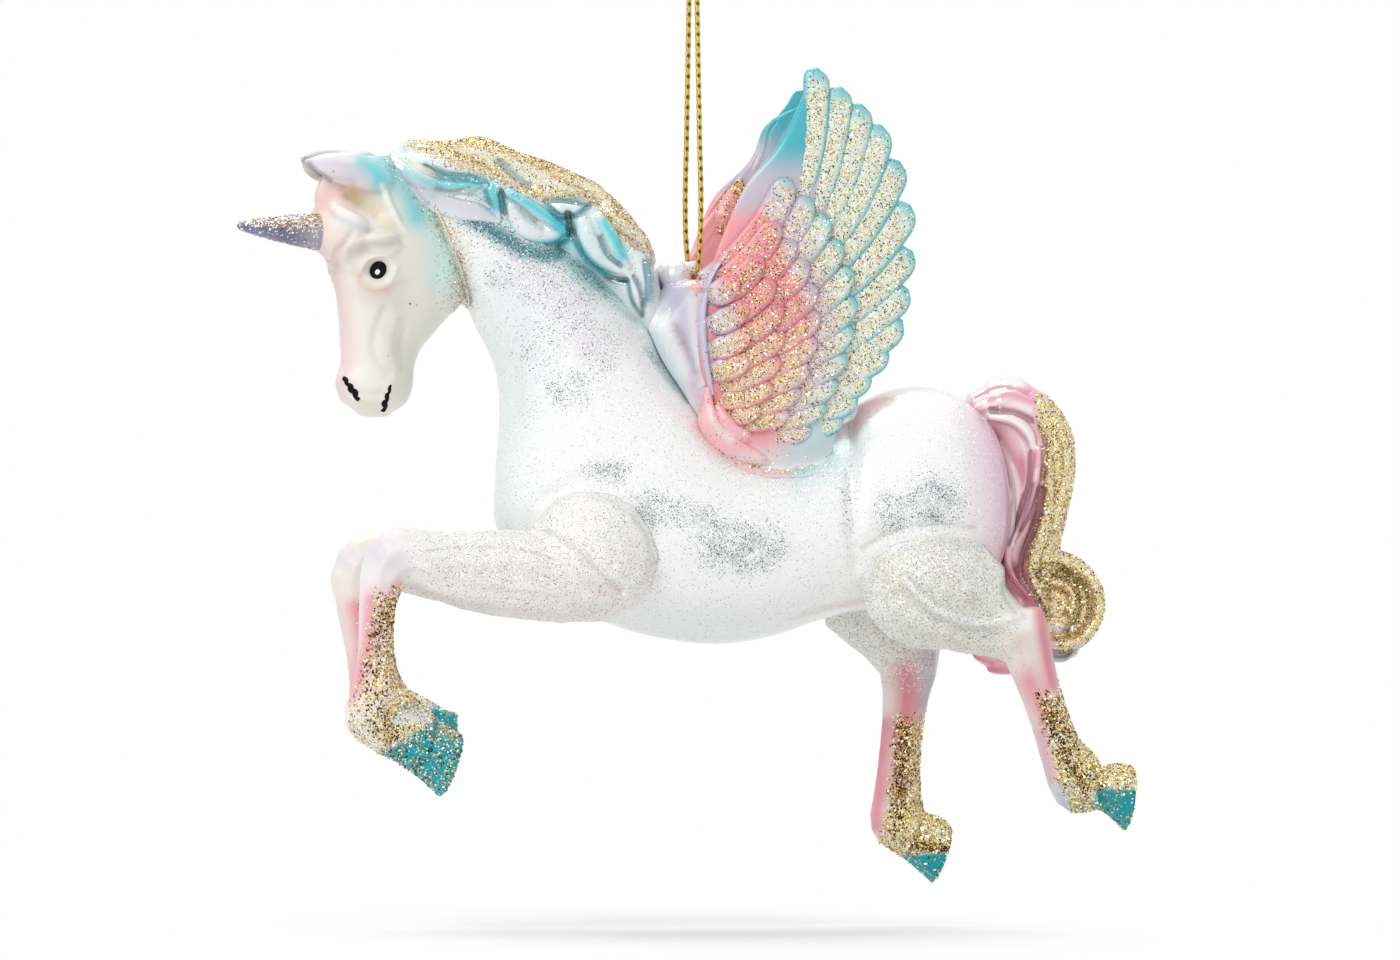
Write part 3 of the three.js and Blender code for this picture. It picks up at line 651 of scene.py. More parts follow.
def scatter(name, clay, density, count, radius, kinds, lift=0.06):
    """Loose glitter flakes on a surface: small plates in shares of kinds, more where density is higher."""
    t = np.vstack([clay.quads[:, [0, 1, 2]], clay.quads[:, [0, 2, 3]], clay.tris])
    a, b, c = clay.co[t[:, 0]], clay.co[t[:, 1]], clay.co[t[:, 2]]
    weight = np.linalg.norm(np.cross(b - a, c - a), axis=1) * density[t].mean(1)
    pick = np.searchsorted(np.cumsum(weight) / weight.sum(), rng.random(count))
    pick = np.minimum(pick, len(t) - 1)
    u, v = rng.random((2, count, 1))
    over = u + v > 1
    u, v = np.where(over, 1 - u, u), np.where(over, 1 - v, v)
    place = a[pick] + u * (b[pick] - a[pick]) + v * (c[pick] - a[pick])
    out = clay.normals()[t[pick]].mean(1)
    n = unit(out + rng.normal(0, FLAKE_TILT, (count, 3)))
    side = unit(np.cross(n, rng.normal(0, 1, (count, 3))))
    size = radius * rng.uniform(0.6, 1.15, (count, 1))
    angle = around(FLAKE_SIDES)[None, :, None]
    rim = np.cos(angle) * side[:, None, :] + np.sin(angle) * np.cross(n, side)[:, None, :]
    corners = (place + out * lift)[:, None, :] + size[:, None, :] * rim
    mesh = bpy.data.meshes.new(name)
    plates = np.arange(count * FLAKE_SIDES).reshape(-1, FLAKE_SIDES)
    mesh.from_pydata(metres(corners.reshape(-1, 3)).tolist(), [], plates.tolist())
    for kind in kinds:
        mesh.materials.append(flake_metals[kind])
    share = np.array(list(kinds.values()), float)
    mesh.polygons.foreach_set("material_index", rng.choice(len(kinds), count, p=share / share.sum()))
    mesh.update()
    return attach(placed(name, mesh), "ornament")


# Laying pieces on a surface
def cast_ray(tree, px, py):
    """Where the line of sight of a pixel meets a surface, and the surface's direction there."""
    place, n, _, _ = tree.ray_cast(Vector(viewpoint), Vector(sight(px, py)))
    if place is None:
        place, n, _, _ = tree.find_nearest(Vector(at(px, py, -10)))
    place, n = np.array(place), np.array(n)
    return place, n if n @ TO_CAMERA > 0 else -n


def draped(tree, line, half_width, half_depth, sink, count):
    """A strand that follows a line of pixels over a surface. The widths are in pixels."""
    hits = [cast_ray(tree, px, py) for px, py in even(dots(line), count)]
    path = np.array([h[0] for h in hits])
    out = np.array([h[1] for h in hits])
    for _ in range(3):
        for rows in (path, out):
            rows[1:-1] = (rows[:-2] + 2 * rows[1:-1] + rows[2:]) / 4
    out = unit(out)
    width = smoothed(half_width, count) * PIXEL
    depth = half_depth * np.clip(width / width.max(), 0.3, 1)
    return strand(path - out * sink, out, np.maximum(width, 0.1), depth, 14)


def draped_pairs(tree, rows):
    """Strands over a surface, each with its mirror on the other side."""
    shells = [draped(tree, *row, sink=0.15, count=50) for row in rows]
    return [side for shell in shells for side in (shell, mirror_shell(shell))]


def groove_paint(rows, spread=1):
    """Paint for carved grooves: line, width, depth, web colour and share."""
    return [(code, share, spread * width, line) for line, width, _, code, share in rows]


def settle(clay, tree, reach, power):
    """Draws the edge of a piece down to the surface that it lies on. Its rest is 1 where it lay on it."""
    clay.rest = np.zeros(len(clay.co))
    for k, point in enumerate(clay.co):
        place, n, _, distance = tree.find_nearest(Vector(point), reach)
        if place is not None and (Vector(point) - place).dot(n) > 0:
            clay.rest[k] = ease(reach, 0, distance)
            clay.co[k] = np.array(place) + np.array(n) * distance * ease(0, reach, distance) ** power
    return clay


# Cord: two braided strands from the eye to the knot
STRAND_ROUTE = [
    (0, 0.06, 0), (0, 0.21, 0), (0, 0.38, 0.02), (0, 0.62, 0.15), (0.05, 0.83, 0.55), (0.1, 0.96, 1.1),
    (0.15, 1, 1.8), (0.3, 1, 3.5), (0.5, 0.98, 6), (0.6, 0.94, 9.5), (0.6, 0.88, 14), (0.5, 0.81, 19),
    (0.45, 0.73, 24.5), (0.4, 0.63, 30), (0.35, 0.54, 36), (0.3, 0.44, 42), (0.25, 0.35, 47.5),
    (0.2, 0.29, 51.7),
]
STRAND_SPREAD = 5.2
CORD_DIAMETER = 0.8
KNOT_DIAMETER = 1.1
BRAID_PITCH = 1.5
BRAID_SIDES = 18

g = new_graph("gold_cord")
thread = g.mix(g.noise(0.3), colour("c29c30"), colour("f0d974"))
# Painted shade: darker in the gaps between the threads.
thread = g.mix(g.attribute("gap"), thread, colour("5a4713"))
g.set(Base_Color=thread, Metallic=0.55, Roughness=g.math("MULTIPLY_ADD", g.noise(0.4), 0.3, 0.25))
cord_gold = g.owner


def braid(path, diameter):
    """A round braid along a path, with its threads raised and painted shade in the gaps between them."""
    run = np.concatenate([[0], np.cumsum(np.linalg.norm(np.diff(path, axis=0), axis=1))])
    along = unit(np.gradient(path, axis=0))
    side = unit(np.cross(along, (1, 0.2, 0.1)))
    angle = around(BRAID_SIDES)
    turn = 2 * np.pi * run / BRAID_PITCH
    one = np.cos(2 * angle[None, :] + turn[:, None])
    two = np.cos(2 * angle[None, :] - turn[:, None] + 0.9)
    relief = np.maximum(one, two)
    radius = diameter / 2 * (0.88 + 0.14 * relief)
    rings = tube(path, side, np.cross(along, side), radius * np.cos(angle), radius * np.sin(angle))
    gap = np.concatenate([ease(0.45, -0.15, relief).ravel(), [0, 0]])
    return Clay(*loft(rings)).mask("gap", gap)


for side, name in ((-1, "cord_left"), (1, "cord_right")):
    route = np.array([(-side * x, side * y * STRAND_SPREAD / 2, z) for x, y, z in STRAND_ROUTE])
    path = even(route, 480)
    length = np.linalg.norm(np.diff(path, axis=0), axis=1).sum()
    strand_piece = braid(path, CORD_DIAMETER).object(
        name, cord_gold, [f"{name}_strand"], "gold_cord", "hanger")

# Knot above the picture: the doubled cord tied on itself, with two short frayed tails
KNOT_TAIL = np.array([(0.2, 0.2, 1), (0.25, 0.45, 3), (0.3, 1.0, 5), (0.45, 1.6, 7.2)])
FRAY_COUNT = 7
FRAY_RADIUS = 0.05
turn = np.linspace(0.35, 2 * np.pi - 0.35, 260)
loop = [np.sin(turn) + 2 * np.sin(2 * turn), -1.6 * np.sin(3 * turn), np.cos(turn) - 2 * np.cos(2 * turn)]
loop = np.stack(loop, 1) * (0.36, 0.5, 0.38) + (0, 0, HANG_HEIGHT + 1.6)
shells = [braid(loop, KNOT_DIAMETER)]
for side in (-1, 1):
    rise = KNOT_TAIL * (side, side, 1) + (0, 0, HANG_HEIGHT)
    shells.append(braid(even(rise, 120), CORD_DIAMETER))
    for _ in range(FRAY_COUNT):
        lean = rng.normal(0, 0.25, 2)
        fibre = rise[-1] + [(0, 0, -0.4), (lean[0] * 0.6, lean[1] * 0.6, 0.2), (lean[0], lean[1], 0.75)]
        hair = Clay(*strand(even(fibre, 8), (1, 0.3, 0), FRAY_RADIUS, FRAY_RADIUS, 6))
        shells.append(hair.mask("gap", np.full(len(hair.co), 0.2)))
knot = Clay(*joined([clay.shell() for clay in shells]))
knot.mask("gap", np.concatenate([clay.masks["gap"] for clay in shells]))
knot.object("cord_knot_tied", cord_gold, ["cord_knot"], "gold_cord", "hanger")

# Glass body
BODY_RIBS = [
    (46.5, -29.5, 46, -39, 6), (43.5, -20.5, 43.5, -45.5, 11), (37.5, -16.5, 38, -48.5, 13.5),
    (31.5, -16, 31.5, -49, 14), (25.5, -18, 25, -48.5, 13.5), (20.5, -22, 19, -49.7, 12.5),
    (13, -23.5, 11.5, -52.1, 12.8), (5.5, -22, 3.5, -53.2, 13.2), (0.5, -18.5, -6.5, -52, 13.5),
    (-2.5, -15, -14.5, -49.4, 13.2), (-5, -11.5, -23.4, -44.4, 12.4), (-7, -7.5, -28.9, -36.5, 11.3),
    (-10, -3.5, -29, -28, 10.2), (-14, 1, -28.5, -20.5, 9.2), (-18.5, 5, -29, -14, 8.5),
    (-23.5, 8.5, -30.5, -10.3, 8), (-29.5, 12, -32, -7.4, 7.6), (-35.5, 15, -33, -5, 7.5),
    (-43, 16, -34, -3.5, 7.5),
]
# Patches of painted dark reflection, as grey tint and mirror flakes: middle and half size in pixels, and
# share
REFLECTION_PATCHES = [
    ((652, 510), (36, 28), 1), ((690, 514), (44, 22), 0.7), ((742, 548), (66, 38), 1),
    ((716, 532), (36, 24), 0.8), ((935, 502), (42, 38), 1), ((892, 512), (28, 32), 0.8),
    ((608, 472), (36, 20), 0.8), ((500, 276), (24, 22), 0.6), ((545, 285), (44, 36), 0.5),
    ((572, 305), (36, 50), 0.55), ((600, 345), (32, 44), 0.55), ((540, 345), (36, 44), 0.35),
    ((570, 390), (34, 30), 0.75), ((848, 500), (9, 60), 0.5),
]
RUMP_CREASE = "862,548 890,532 930,524 975,528"
# Paint along the back that the saddle shares
BACK_PAINT = [
    ("f2b9bb", 0.7, 9, "700,428 715,450 745,465 790,472"),
    ("a5dde0", 0.8, 12, "800,468 828,452 846,425 852,405"),
]
# Pixel rows and columns between which a tint comes in, from none to full
BELLY_ROWS = (585, 645)
CHEST_COLUMNS = (560, 490)
CHEST_ROWS = (280, 360)
rings = rib_rings(BODY_RIBS[::-1], 420, 180, round_end=1.5)
body = Clay(*loft(rings[:, ::-1]))
body.smooth(30)
body_tree = body.tree()
BODY_STROKES = [
    ("846,412 850,445 851,490 852,530 858,565", 8, -0.55),
    ("870,425 866,470 868,520", 14, 0.25),
    ("652,316 670,345 690,388", 8, 0.5),
    ("644,340 664,368 688,398", 5, -0.35),
    ("545,497 590,477 622,490 643,515 654,560", 7, -0.35),
    (RUMP_CREASE, 7, -0.3),
]
body.carve(BODY_STROKES)
p = photo(fold(body.co))
body.tint("fafbfa")
# Painted shade: greyer towards the belly and towards the chest's front edge.
body.tint("e8edef", 0.7 * ease(*BELLY_ROWS, p[:, 1]))
body.tint("e9f0f0", 0.7 * ease(*CHEST_COLUMNS, p[:, 0]) * ease(*CHEST_ROWS, p[:, 1]))
SEAM = "391,156 410,184 433,210 452,235 460,265 461,302"
BODY_PAINT = [
    ("bfe3e4", 0.6, 20, "585,270 615,292 652,325 680,372"),
    ("d5e8ea", 0.4, 30, "505,290 520,340 520,400"),
    ("ecdfe9", 0.5, 22, "515,272 560,300 590,345"),
    # Painted shade along the chest's front edge.
    ("e6ebed", 0.6, 14, "488,420 492,470 500,520"),
    # Painted highlight on the withers.
    ("ffffff", 0.9, 8, "655,312 668,318 682,322"),
    ("e6a9ca", 0.85, 12, "985,410 999,470 1002,520 996,585"),
    ("efd6e2", 0.6, 22, "975,420 985,480 985,560"),
    *BACK_PAINT,
    ("d3e9ea", 0.5, 22, "800,478 835,465 858,430"),
    ("d2d0b8", 0.45, 10, SEAM),
    # Dark teal under the mane's lower edge: teal glitter colour and painted shadow of the mane (next two
    # rows).
    ("2f707b", 0.95, 9, "470,218 497,233 525,250 553,254 569,245"),
    ("7fabb2", 0.6, 12, "575,264 600,284 622,290"),
    # Painted shade in the rump crease and in the groove behind the wing (next two rows).
    ("b9bab0", 0.6, 2.2, RUMP_CREASE),
    ("d9dcdc", 0.5, 3, "846,420 850,445 851,490 852,530"),
]
brush(body, p, BODY_PAINT)
SHOULDER_SILVER = "648,350 668,375 690,398"
MANE_HEM = "470,217 497,232 525,249 553,253 570,243"
MANE_END = "576,264 600,286 626,296"
BACK_FROST = "700,432 722,458 770,474 830,470"
ragged = 0.5 + 0.25 * np.sin(p[:, 0] / 5.1 + 1.3 * np.sin(p[:, 1] / 7.3))
ragged = ragged + 0.25 * np.sin(p[:, 1] / 4.3 + 1.7 * np.sin(p[:, 0] / 9.1))
# Painted dark reflections: grey tint and mirror flakes in the patches and along the shoulder line.
silver = np.zeros(len(p))
for centre, radii, share in REFLECTION_PATCHES:
    silver = np.maximum(silver, share * spot(p, centre, radii))
silver = np.maximum(silver, 0.7 * near(p, SHOULDER_SILVER, 5))
silver = silver * (0.55 + 0.45 * ease(0.2, 0.8, ragged))
body.tint("c3c9cc", 0.35 * silver)
body.mask("silver", 0.85 * silver**1.3)
hem_dust = near(p, MANE_HEM, 12)
body.mask("teal_dust", np.maximum(hem_dust, 0.6 * near(p, MANE_END, 8)))
body.mask("frost", 0.22 + 0.5 * near(p, SEAM, 14) + 0.5 * near(p, BACK_FROST, 9))
body.object("body_shell", pearl, ["glass_body"], "pearl_glass")
SEAM_FLAKES = {"pale": 5, "light": 3, "gold": 2, "bronze": 1.2, "dark": 0.5, "silver": 6}
scatter("neck_glitter", body, near(p, SEAM, 9) + 1e-6, count=3600, radius=0.11, kinds=SEAM_FLAKES, lift=0.04)

# Head: skull, ears and brow in one skin, turned towards the viewer
HEAD_RIBS = [
    (-13, 10, -4, 10.5, 3), (-19.2, 6, 1, 9, 5), (-20.2, 2.2, 4, 4, 5.9), (-18.9, -3, 6, -1.5, 6.3),
    (-16.9, -6, 6, -6, 6.2), (-16.1, -9.5, 4.3, -10.5, 5.8), (-15.4, -13, 1, -14, 5.2),
    (-15.1, -16.5, -2.1, -17.2, 4.6), (-14.9, -19.4, -3.1, -20, 4.4), (-15.2, -21.9, -3.3, -22.3, 4.7),
    (-14.3, -24.4, -4.2, -24.7, 3.9), (-11.7, -26.4, -6.6, -26.3, 2.1),
]
# Round forms of the head: middle and radii of forehead, horn seat, jaws and brows
SKULL_BALLS = [
    ((-15.8, 0, 4.2), (4.2, 4.4, 5)), ((-16.9, 0, -2.6), (2, 2.8, 2.4)),
    ((-17.3, -1.2, -0.3), (4.1, 4.4, 4.2)), ((-16.3, 1, -0.3), (3.4, 3.8, 4)),
    ((-2.6, -3.5, -5.2), (7.6, 2.6, 7.8)), ((-2.6, 3.5, -5.2), (7.6, 2.6, 7.8)),
    ((-12.4, -4.6, -1.3), (3.4, 2.2, 1.9)), ((-12.4, 4.6, -1.3), (3.4, 2.2, 1.9)),
]
HEAD_JOINT = np.array([-38.9, 0, 6.5])
HEAD_TURN = math.radians(25)
HEAD_TILT = math.radians(3)
HEAD_POSE = np.array(Matrix.Rotation(HEAD_TURN, 3, "Z") @ Matrix.Rotation(HEAD_TILT, 3, "X"))


def posed(points):
    return np.asarray(points, float) @ HEAD_POSE.T + HEAD_JOINT


def head_flip(points):
    return posed(flip((points - HEAD_JOINT) @ HEAD_POSE))


def head_mirror(shell, shift=(0, 0, 0)):
    """A piece on the other side of the head, shifted along the head's own axes."""
    return changed(shell, lambda points: head_flip(points) + HEAD_POSE @ np.array(shift), True)


# The outer leaf of an ear: pixels and depth, with half widths in pixels
EAR_LEAF = [(402, 180, -5.5), (386, 172, -8.4), (366, 172.5, -10.4), (345, 169, -11.4), (325, 165, -11.9),
            (305, 161, -12.1)]
EAR_LEAF_WIDTHS = (6, 19, 19.5, 18, 12.5, 1.5)
EAR_LEAF_DEPTH = 1.15
FAR_EAR_SHIFT = (1.6, 0, 0.3)
FAR_ROLL_SHIFT = (1.6, -0.5, 0)
# Rolls on the skull: the ear's lower rim, its back fold and the brow
HEAD_ROLLS = [
    ("331,205 338,212 350,218 364,223 378,227", (4, 8, 8, 5, 1.5), 1.6),
    ("390,158 383,176 386,195 394,213 406,231", (8, 6.5, 5, 4.5, 1.5), 1.3),
    ("352,243 368,238 384,238 400,235", (2, 5, 5, 2), 0.9),
]
stations = even(EAR_LEAF, 60)
width = smoothed(EAR_LEAF_WIDTHS, 60) * PIXEL
leaf = strand(np.array([at(*s) for s in stations]), TO_CAMERA + (0, 0, 0.45), width,
              EAR_LEAF_DEPTH * np.clip(width / width.max(), 0.25, 1), 28)
far_leaf = head_mirror(leaf, FAR_EAR_SHIFT)
skull = [loft(rib_rings(HEAD_RIBS, 120, 60, round_end=0.6))] + [ball(*row) for row in SKULL_BALLS]
skull = [changed(shell, posed) for shell in skull]
skull_tree = Clay(*joined(skull)).tree()
rolls = [draped(skull_tree, *row, sink=0.25, count=40) for row in HEAD_ROLLS]
far_rolls = [head_mirror(roll, FAR_ROLL_SHIFT) for roll in rolls]
head = union(skull + [leaf, far_leaf] + rolls + far_rolls, VOXEL["head"])
head.smooth(8)
EYE_PIXELS = (378, 270)
HEAD_STROKES = [
    ("350,195 362,202 380,213", 7, -1.1),
    ("345,243 338,250 333,262", 3, -0.45),
    ("332,270 336,262 345,246 352,234", 4, -0.4),
    ("352,252 366,247 382,246 400,243", 4, -0.45),
    ("358,274 364,263 376,256 389,253 400,245", 3.5, 0.5),
    ("360,281 370,288 382,288 391,280 396,268", 3.5, 0.35),
    ("358,294 374,300 390,296 402,284", 6, -0.25),
    ("350,300 352,330 358,360", 9, -0.25),
    ("385,310 377,330 374,348 379,362 388,372", 5, -0.35),
    ("396,318 390,338 389,355 396,368", 5, 0.25),
    ("405,330 401,350 404,368", 4, -0.2),
    ("343,378 350,388 358,399", 6, 0.25),
    ("391,384 387,397 383,410", 6, 0.25),
    ("357,393 370,395 384,394", 4, -0.25),
]
head.carve(HEAD_STROKES, head_flip)
head.push(-0.9 * sum(f * spot(v, EYE_PIXELS, (16, 15)) for v, f in head.views(head_flip)))
head_tree = head.tree()
both = head.views(head_flip)
q = np.where((both[1][1] > both[0][1])[:, None], both[1][0], both[0][0])
head.tint("f2eee5")
HEAD_PAINT = [
    ("e7cfce", 0.75, 14, "322,250 334,280 340,320 342,360 340,390"),
    # Painted shade: along the jaw, under the brow and under the eye (next three rows).
    ("dedad0", 0.7, 16, "395,300 392,330 400,360 404,385"),
    ("d9d4c9", 0.6, 6, "352,252 370,246 398,243"),
    ("dcd6cb", 0.6, 7, "362,298 378,302 394,297 404,284"),
    ("f0c5c1", 0.8, 17, "322,205 336,192 352,190"),
    ("f2dbd6", 0.6, 20, "325,225 335,245"),
    ("dfb8a8", 0.55, 5, "357,272 362,284 374,290 386,288"),
    # Painted highlight on the upper lid.
    ("f9efdc", 0.5, 5, "364,262 378,254 398,246"),
    ("d6f4f2", 0.95, 18, "420,200 434,222 444,250 446,280"),
    ("8adce1", 0.95, 13, "388,158 400,176 412,196 418,215"),
    ("78d6de", 0.95, 13, "362,166 375,171 380,180"),
    ("dcd7e4", 0.85, 11, "312,158 338,165 356,173"),
    # Painted highlight on the ear's top edge, then painted shade below it.
    ("f1eff5", 0.8, 4, "315,156 335,156 352,160"),
    ("c9c5d2", 0.6, 4, "322,174 338,179 352,180"),
    ("8a8c97", 0.85, 2.6, "309,164 318,172 330,180"),
    ("a8abb6", 0.6, 4, "304,160"),
    # Tan in the ear's hollow, darkest at its deepest: painted shade (next two rows).
    ("d6bf92", 0.85, 8, "352,195 360,200"),
    ("efe4c6", 0.7, 9, "366,203 380,214 390,224"),
    # Painted highlight on the ear's lower rim.
    ("fbf9f4", 0.85, 4, "333,205 345,212 376,226"),
    ("d8f1f3", 0.5, 3, "338,219 352,225 366,227"),
    # Painted highlight on the ear's back fold.
    ("fbfbf8", 0.8, 3, "382,186 388,203 396,219 404,230"),
    ("e8ebdc", 0.5, 14, "445,300 425,330 414,365 410,390"),
    ("e6dccb", 0.6, 9, "365,405 375,404"),
    ("d2d0b8", 0.25, 9, SEAM),
]
brush(head, q, HEAD_PAINT)
CHEEK_FROST = "440,215 456,260 458,300"
own = (head.co - HEAD_JOINT) @ HEAD_POSE
# Painted shade: the far ear greyer than the near one.
far_ear = ease(2, 4, own[:, 1]) * ease(-17.5, -19, own[:, 0]) * ease(5, 7, own[:, 2])
head.tint("b4b5bf", 0.85 * far_ear)
head.mask("frost", 0.45 * near(q, CHEEK_FROST, 14))
head.object("head_cast", cast, ["head"], "ivory_cast")
scatter("head_glitter", head, near(q, SEAM, 9) + 1e-6, count=2600, radius=0.11, kinds=SEAM_FLAKES, lift=0.04)
SPECKS = "413,306 389,353 402,350 336,171 405,412"
specks = sum(near(q, [place], 3) for place in dots(SPECKS)) + 1e-9
scatter("head_specks", head, specks, count=14, radius=0.13, kinds={"dark": 1})

# Half sizes of the eye and its catchlight: along the head, upwards and outwards
EYE_HALF = (1.2, 1.45, 0.75)
GLINT_HALF = (0.36, 0.42, 0.14)
GLINT_PIXELS = (377.5, 272)
EYE_LEAN = np.array([0.45, 0, 1])
EYE_LIFT = 0.05


def eye_piece(name, mirrored):
    """A domed black eye with a white catchlight."""
    centre, n = cast_ray(head_tree, *EYE_PIXELS)
    up = EYE_LEAN - n * (n @ EYE_LEAN)
    up /= np.linalg.norm(up)
    side = np.cross(up, n)

    def dome(half, place, lift, sides):
        axes = np.stack([side * half[0], up * half[1], n * half[2]])
        return changed(ball((0, 0, 0), (1, 1, 1), sides), lambda points: points @ axes + place + n * lift)

    eye = dome(EYE_HALF, centre, EYE_LIFT, 36)
    light, _ = cast_ray(Clay(*eye).tree(), *GLINT_PIXELS)
    # The small white dome is a painted catchlight on the eye.
    for part, shape, look in ((name, eye, black), (name + "_glint", dome(GLINT_HALF, light, 0, 20), white)):
        Clay(*(head_mirror(shape) if mirrored else shape)).object(part, look)


eye_piece("eye_left", False)
eye_piece("eye_right", True)
NOSTRILS = {
    "nostril_left": ("391,385 389.5,388 389.5,392 387,395 387,400 384.5,403 385.5,407 383,411",
                     (1.2, 1.9, 1.5, 2.4, 2.2, 3.3, 2.4, 2.8)),
    "nostril_right": ("343,378 346,380 346.5,384 350.5,386 350.5,390 355,392 355.5,397 359,400",
                      (2.2, 2.7, 1.9, 3.2, 3.0, 3.4, 2.2, 2.6)),
}
for name, (line, width) in NOSTRILS.items():
    Clay(*draped(head_tree, line, width, half_depth=0.25, sink=0.02, count=50)).object(name, black)

# Horn: a slim cone with faint spiral bands
HORN_ROOT = np.array([-17.2, 0, -0.5])
HORN_RISE = math.radians(3)
HORN_LENGTH = 17.4
HORN_SHARES = [0, 0.45, 0.8, 0.97, 1.0]
HORN_RADII = [3.0, 2.16, 1.2, 0.6, 0.15]
HORN_TURNS = 4.5
# Pixel columns between which a tint or glitter comes in, from none to full
HORN_FOOT_COLUMNS = (285, 318)
HORN_SHADE_COLUMNS = (300, 260)
HORN_GOLD_COLUMNS = (232, 250)
share = np.linspace(0, 1, 180)
radius = tapered(180, HORN_SHARES, HORN_RADII)
angle = around(48)
bands = np.cos(angle[None, :] + 2 * np.pi * HORN_TURNS * share[:, None])
bands = 1 - 0.05 * np.clip(bands, 0.2, 1) ** 2 * (1 - share[:, None])
axis = np.array([-math.cos(HORN_RISE), 0, math.sin(HORN_RISE)])
across = np.array([0, 1, 0])
upward = np.cross(across, axis)
size = radius[:, None] * bands
path = HORN_ROOT + np.outer(share * HORN_LENGTH, axis)
rings = tube(path, across[None], upward[None], size * np.cos(angle), size * np.sin(angle))
horn = Clay(*changed(loft(rings), posed))
n = horn.normals()
p = photo(horn.co)
horn.tint("6b6c8a")
horn.tint("a7a3b0", ease(*HORN_FOOT_COLUMNS, p[:, 0]))
horn.tint("8f93b4", 0.6 * ease(0.1, -0.6, n[:, 2]) * ease(*HORN_SHADE_COLUMNS, p[:, 0]))
top = ease(-0.35, 0.75, n[:, 2]) * ease(*HORN_GOLD_COLUMNS, p[:, 0])
horn.tint("b9a6a4", 0.5 * top)
horn.mask("gold_dust", 0.5 * top + 0.08)
horn.object("horn_cast", horn_cast, ["horn"], "slate_cast")
HORN_GLITTER = {"pale": 4, "light": 4, "gold": 3, "silver": 4, "bronze": 1}
scatter("horn_glitter", horn, 0.12 + top, count=800, radius=0.16, kinds=HORN_GLITTER)

# Mane: a crest with glossy locks laid over it on both sides
MANE_RIBS = [
    (-44.7, 17.3, -43.5, 14.5, 2.2), (-41.5, 19, -40, 12, 4.8), (-35.5, 19.6, -34.5, 9.5, 5.8),
    (-31.5, 20.1, -29.5, 6, 6.2), (-26, 18, -25, 4, 6.6), (-20, 16, -20, 1.5, 6.9),
    (-13.2, 12.4, -14.5, -2, 6.9), (-8, 6.8, -11, -6, 6), (-5.6, 1, -8, -8.5, 4.4),
    (-4.6, -3.5, -6, -10, 2.2),
]
crest = loft(rib_rings(MANE_RIBS, 90, 48, round_end=1))
crest_tree = Clay(*joined([crest, loft(rib_rings(BODY_RIBS[::-1], 120, 60)), head.shell()])).tree()
MANE_LOCKS = [
    ("394,162 404,172 420,182 440,188 462,187 484,182", (6, 9, 10, 10, 8, 4), 1.7),
    ("393,161 399,152 413,148 434,150 455,156", (4, 7, 8, 7, 4), 1.3),
    ("400,157 425,160 455,165 485,174 505,185", (4, 8, 9, 8, 4), 1.2),
    ("412,184 430,199 455,208 480,212 500,222", (5, 11, 12, 11, 3), 0.9),
    ("487,180 492,194 497,208 502,222", (5, 7, 6, 2), 1.2),
    ("490,183 509,193 530,206 548,218 566,232", (4, 6, 7, 7, 4), 1.6),
    ("509,203 517,221 533,233 551,235 564,228", (5, 11, 12, 10, 5), 1.7),
    ("547,204 562,209 577,210 590,205", (3, 7, 7, 3), 1.5),
    ("581,217 588,240 600,258 615,268 628,274", (7, 11, 10, 7, 2), 1.7),
    ("597,214 609,234 617,252 630,268", (6, 8, 7, 3), 1.6),
    ("628,250 640,262 646,280 647,300", (6, 9, 8, 4), 1.3),
    ("629,276 635,293 642,315", (4, 7, 2), 1.2),
    ("440,148 485,151 530,168 570,190 602,199", (4, 8, 10, 9, 5), 1.2),
    ("520,165 560,178 595,192 618,216", (4, 7, 8, 4), 1.4),
    ("603,200 618,222 640,240 653,264", (5, 9, 9, 5), 1.3),
]
# Grooves: line, width, depth, web colour and share; the dark colours are the locks' deeper teal and painted
# shade in the grooves
MANE_GROOVES = [
    ("425,168 445,176 469,178 487,184", 3, -0.6, "0a97a6", 0.8),
    ("437,189 452,192 470,188", 1.8, -0.35, "8a8f8f", 0.6),
    ("485,192 491,206", 2, -0.35, "008390", 0.8),
    ("501,190 503,206 505,224", 2.2, -0.7, "0d6270", 0.9),
    ("513,202 525,211 537,222", 1.4, -0.3, "6d6a68", 0.45),
    ("505,226 512,236 525,243 545,248 565,242 571,232", 2.2, -0.4, "008594", 0.9),
    ("545,200 565,200 588,205", 1.8, -0.4, "008896", 0.9),
    ("546,203 556,214 566,218 578,214 590,204", 2, -0.5, "008896", 0.9),
    ("568,214 570,225 572,236", 2.8, -0.8, "0a4f5b", 0.95),
    ("600,237 607,254 621,266", 1.5, -0.35, "2d7f8a", 0.85),
    ("575,240 583,256 594,268 607,277 625,281", 2.4, -0.4, "008594", 0.9),
    ("607,278 616,281 625,281", 2.5, -0.4, "3b4f54", 0.8),
    ("627,280 633,303 642,317", 1.5, -0.35, "2f6f7c", 0.85),
    ("634,276 641,292 643,314", 1.5, -0.35, "2f6f7c", 0.85),
    ("645,262 647,285 645,305", 2, -0.35, "1f8f9d", 0.7),
    ("499,162 509,170 520,180 531,186", 3.5, -0.5, "138493", 0.8),
]
mane = union([crest] + draped_pairs(crest_tree, MANE_LOCKS), VOXEL["mane"])
mane.smooth(6)
mane.carve([groove[:3] for groove in MANE_GROOVES])
p = photo(fold(mane.co))
mane.tint("e6f1f2")
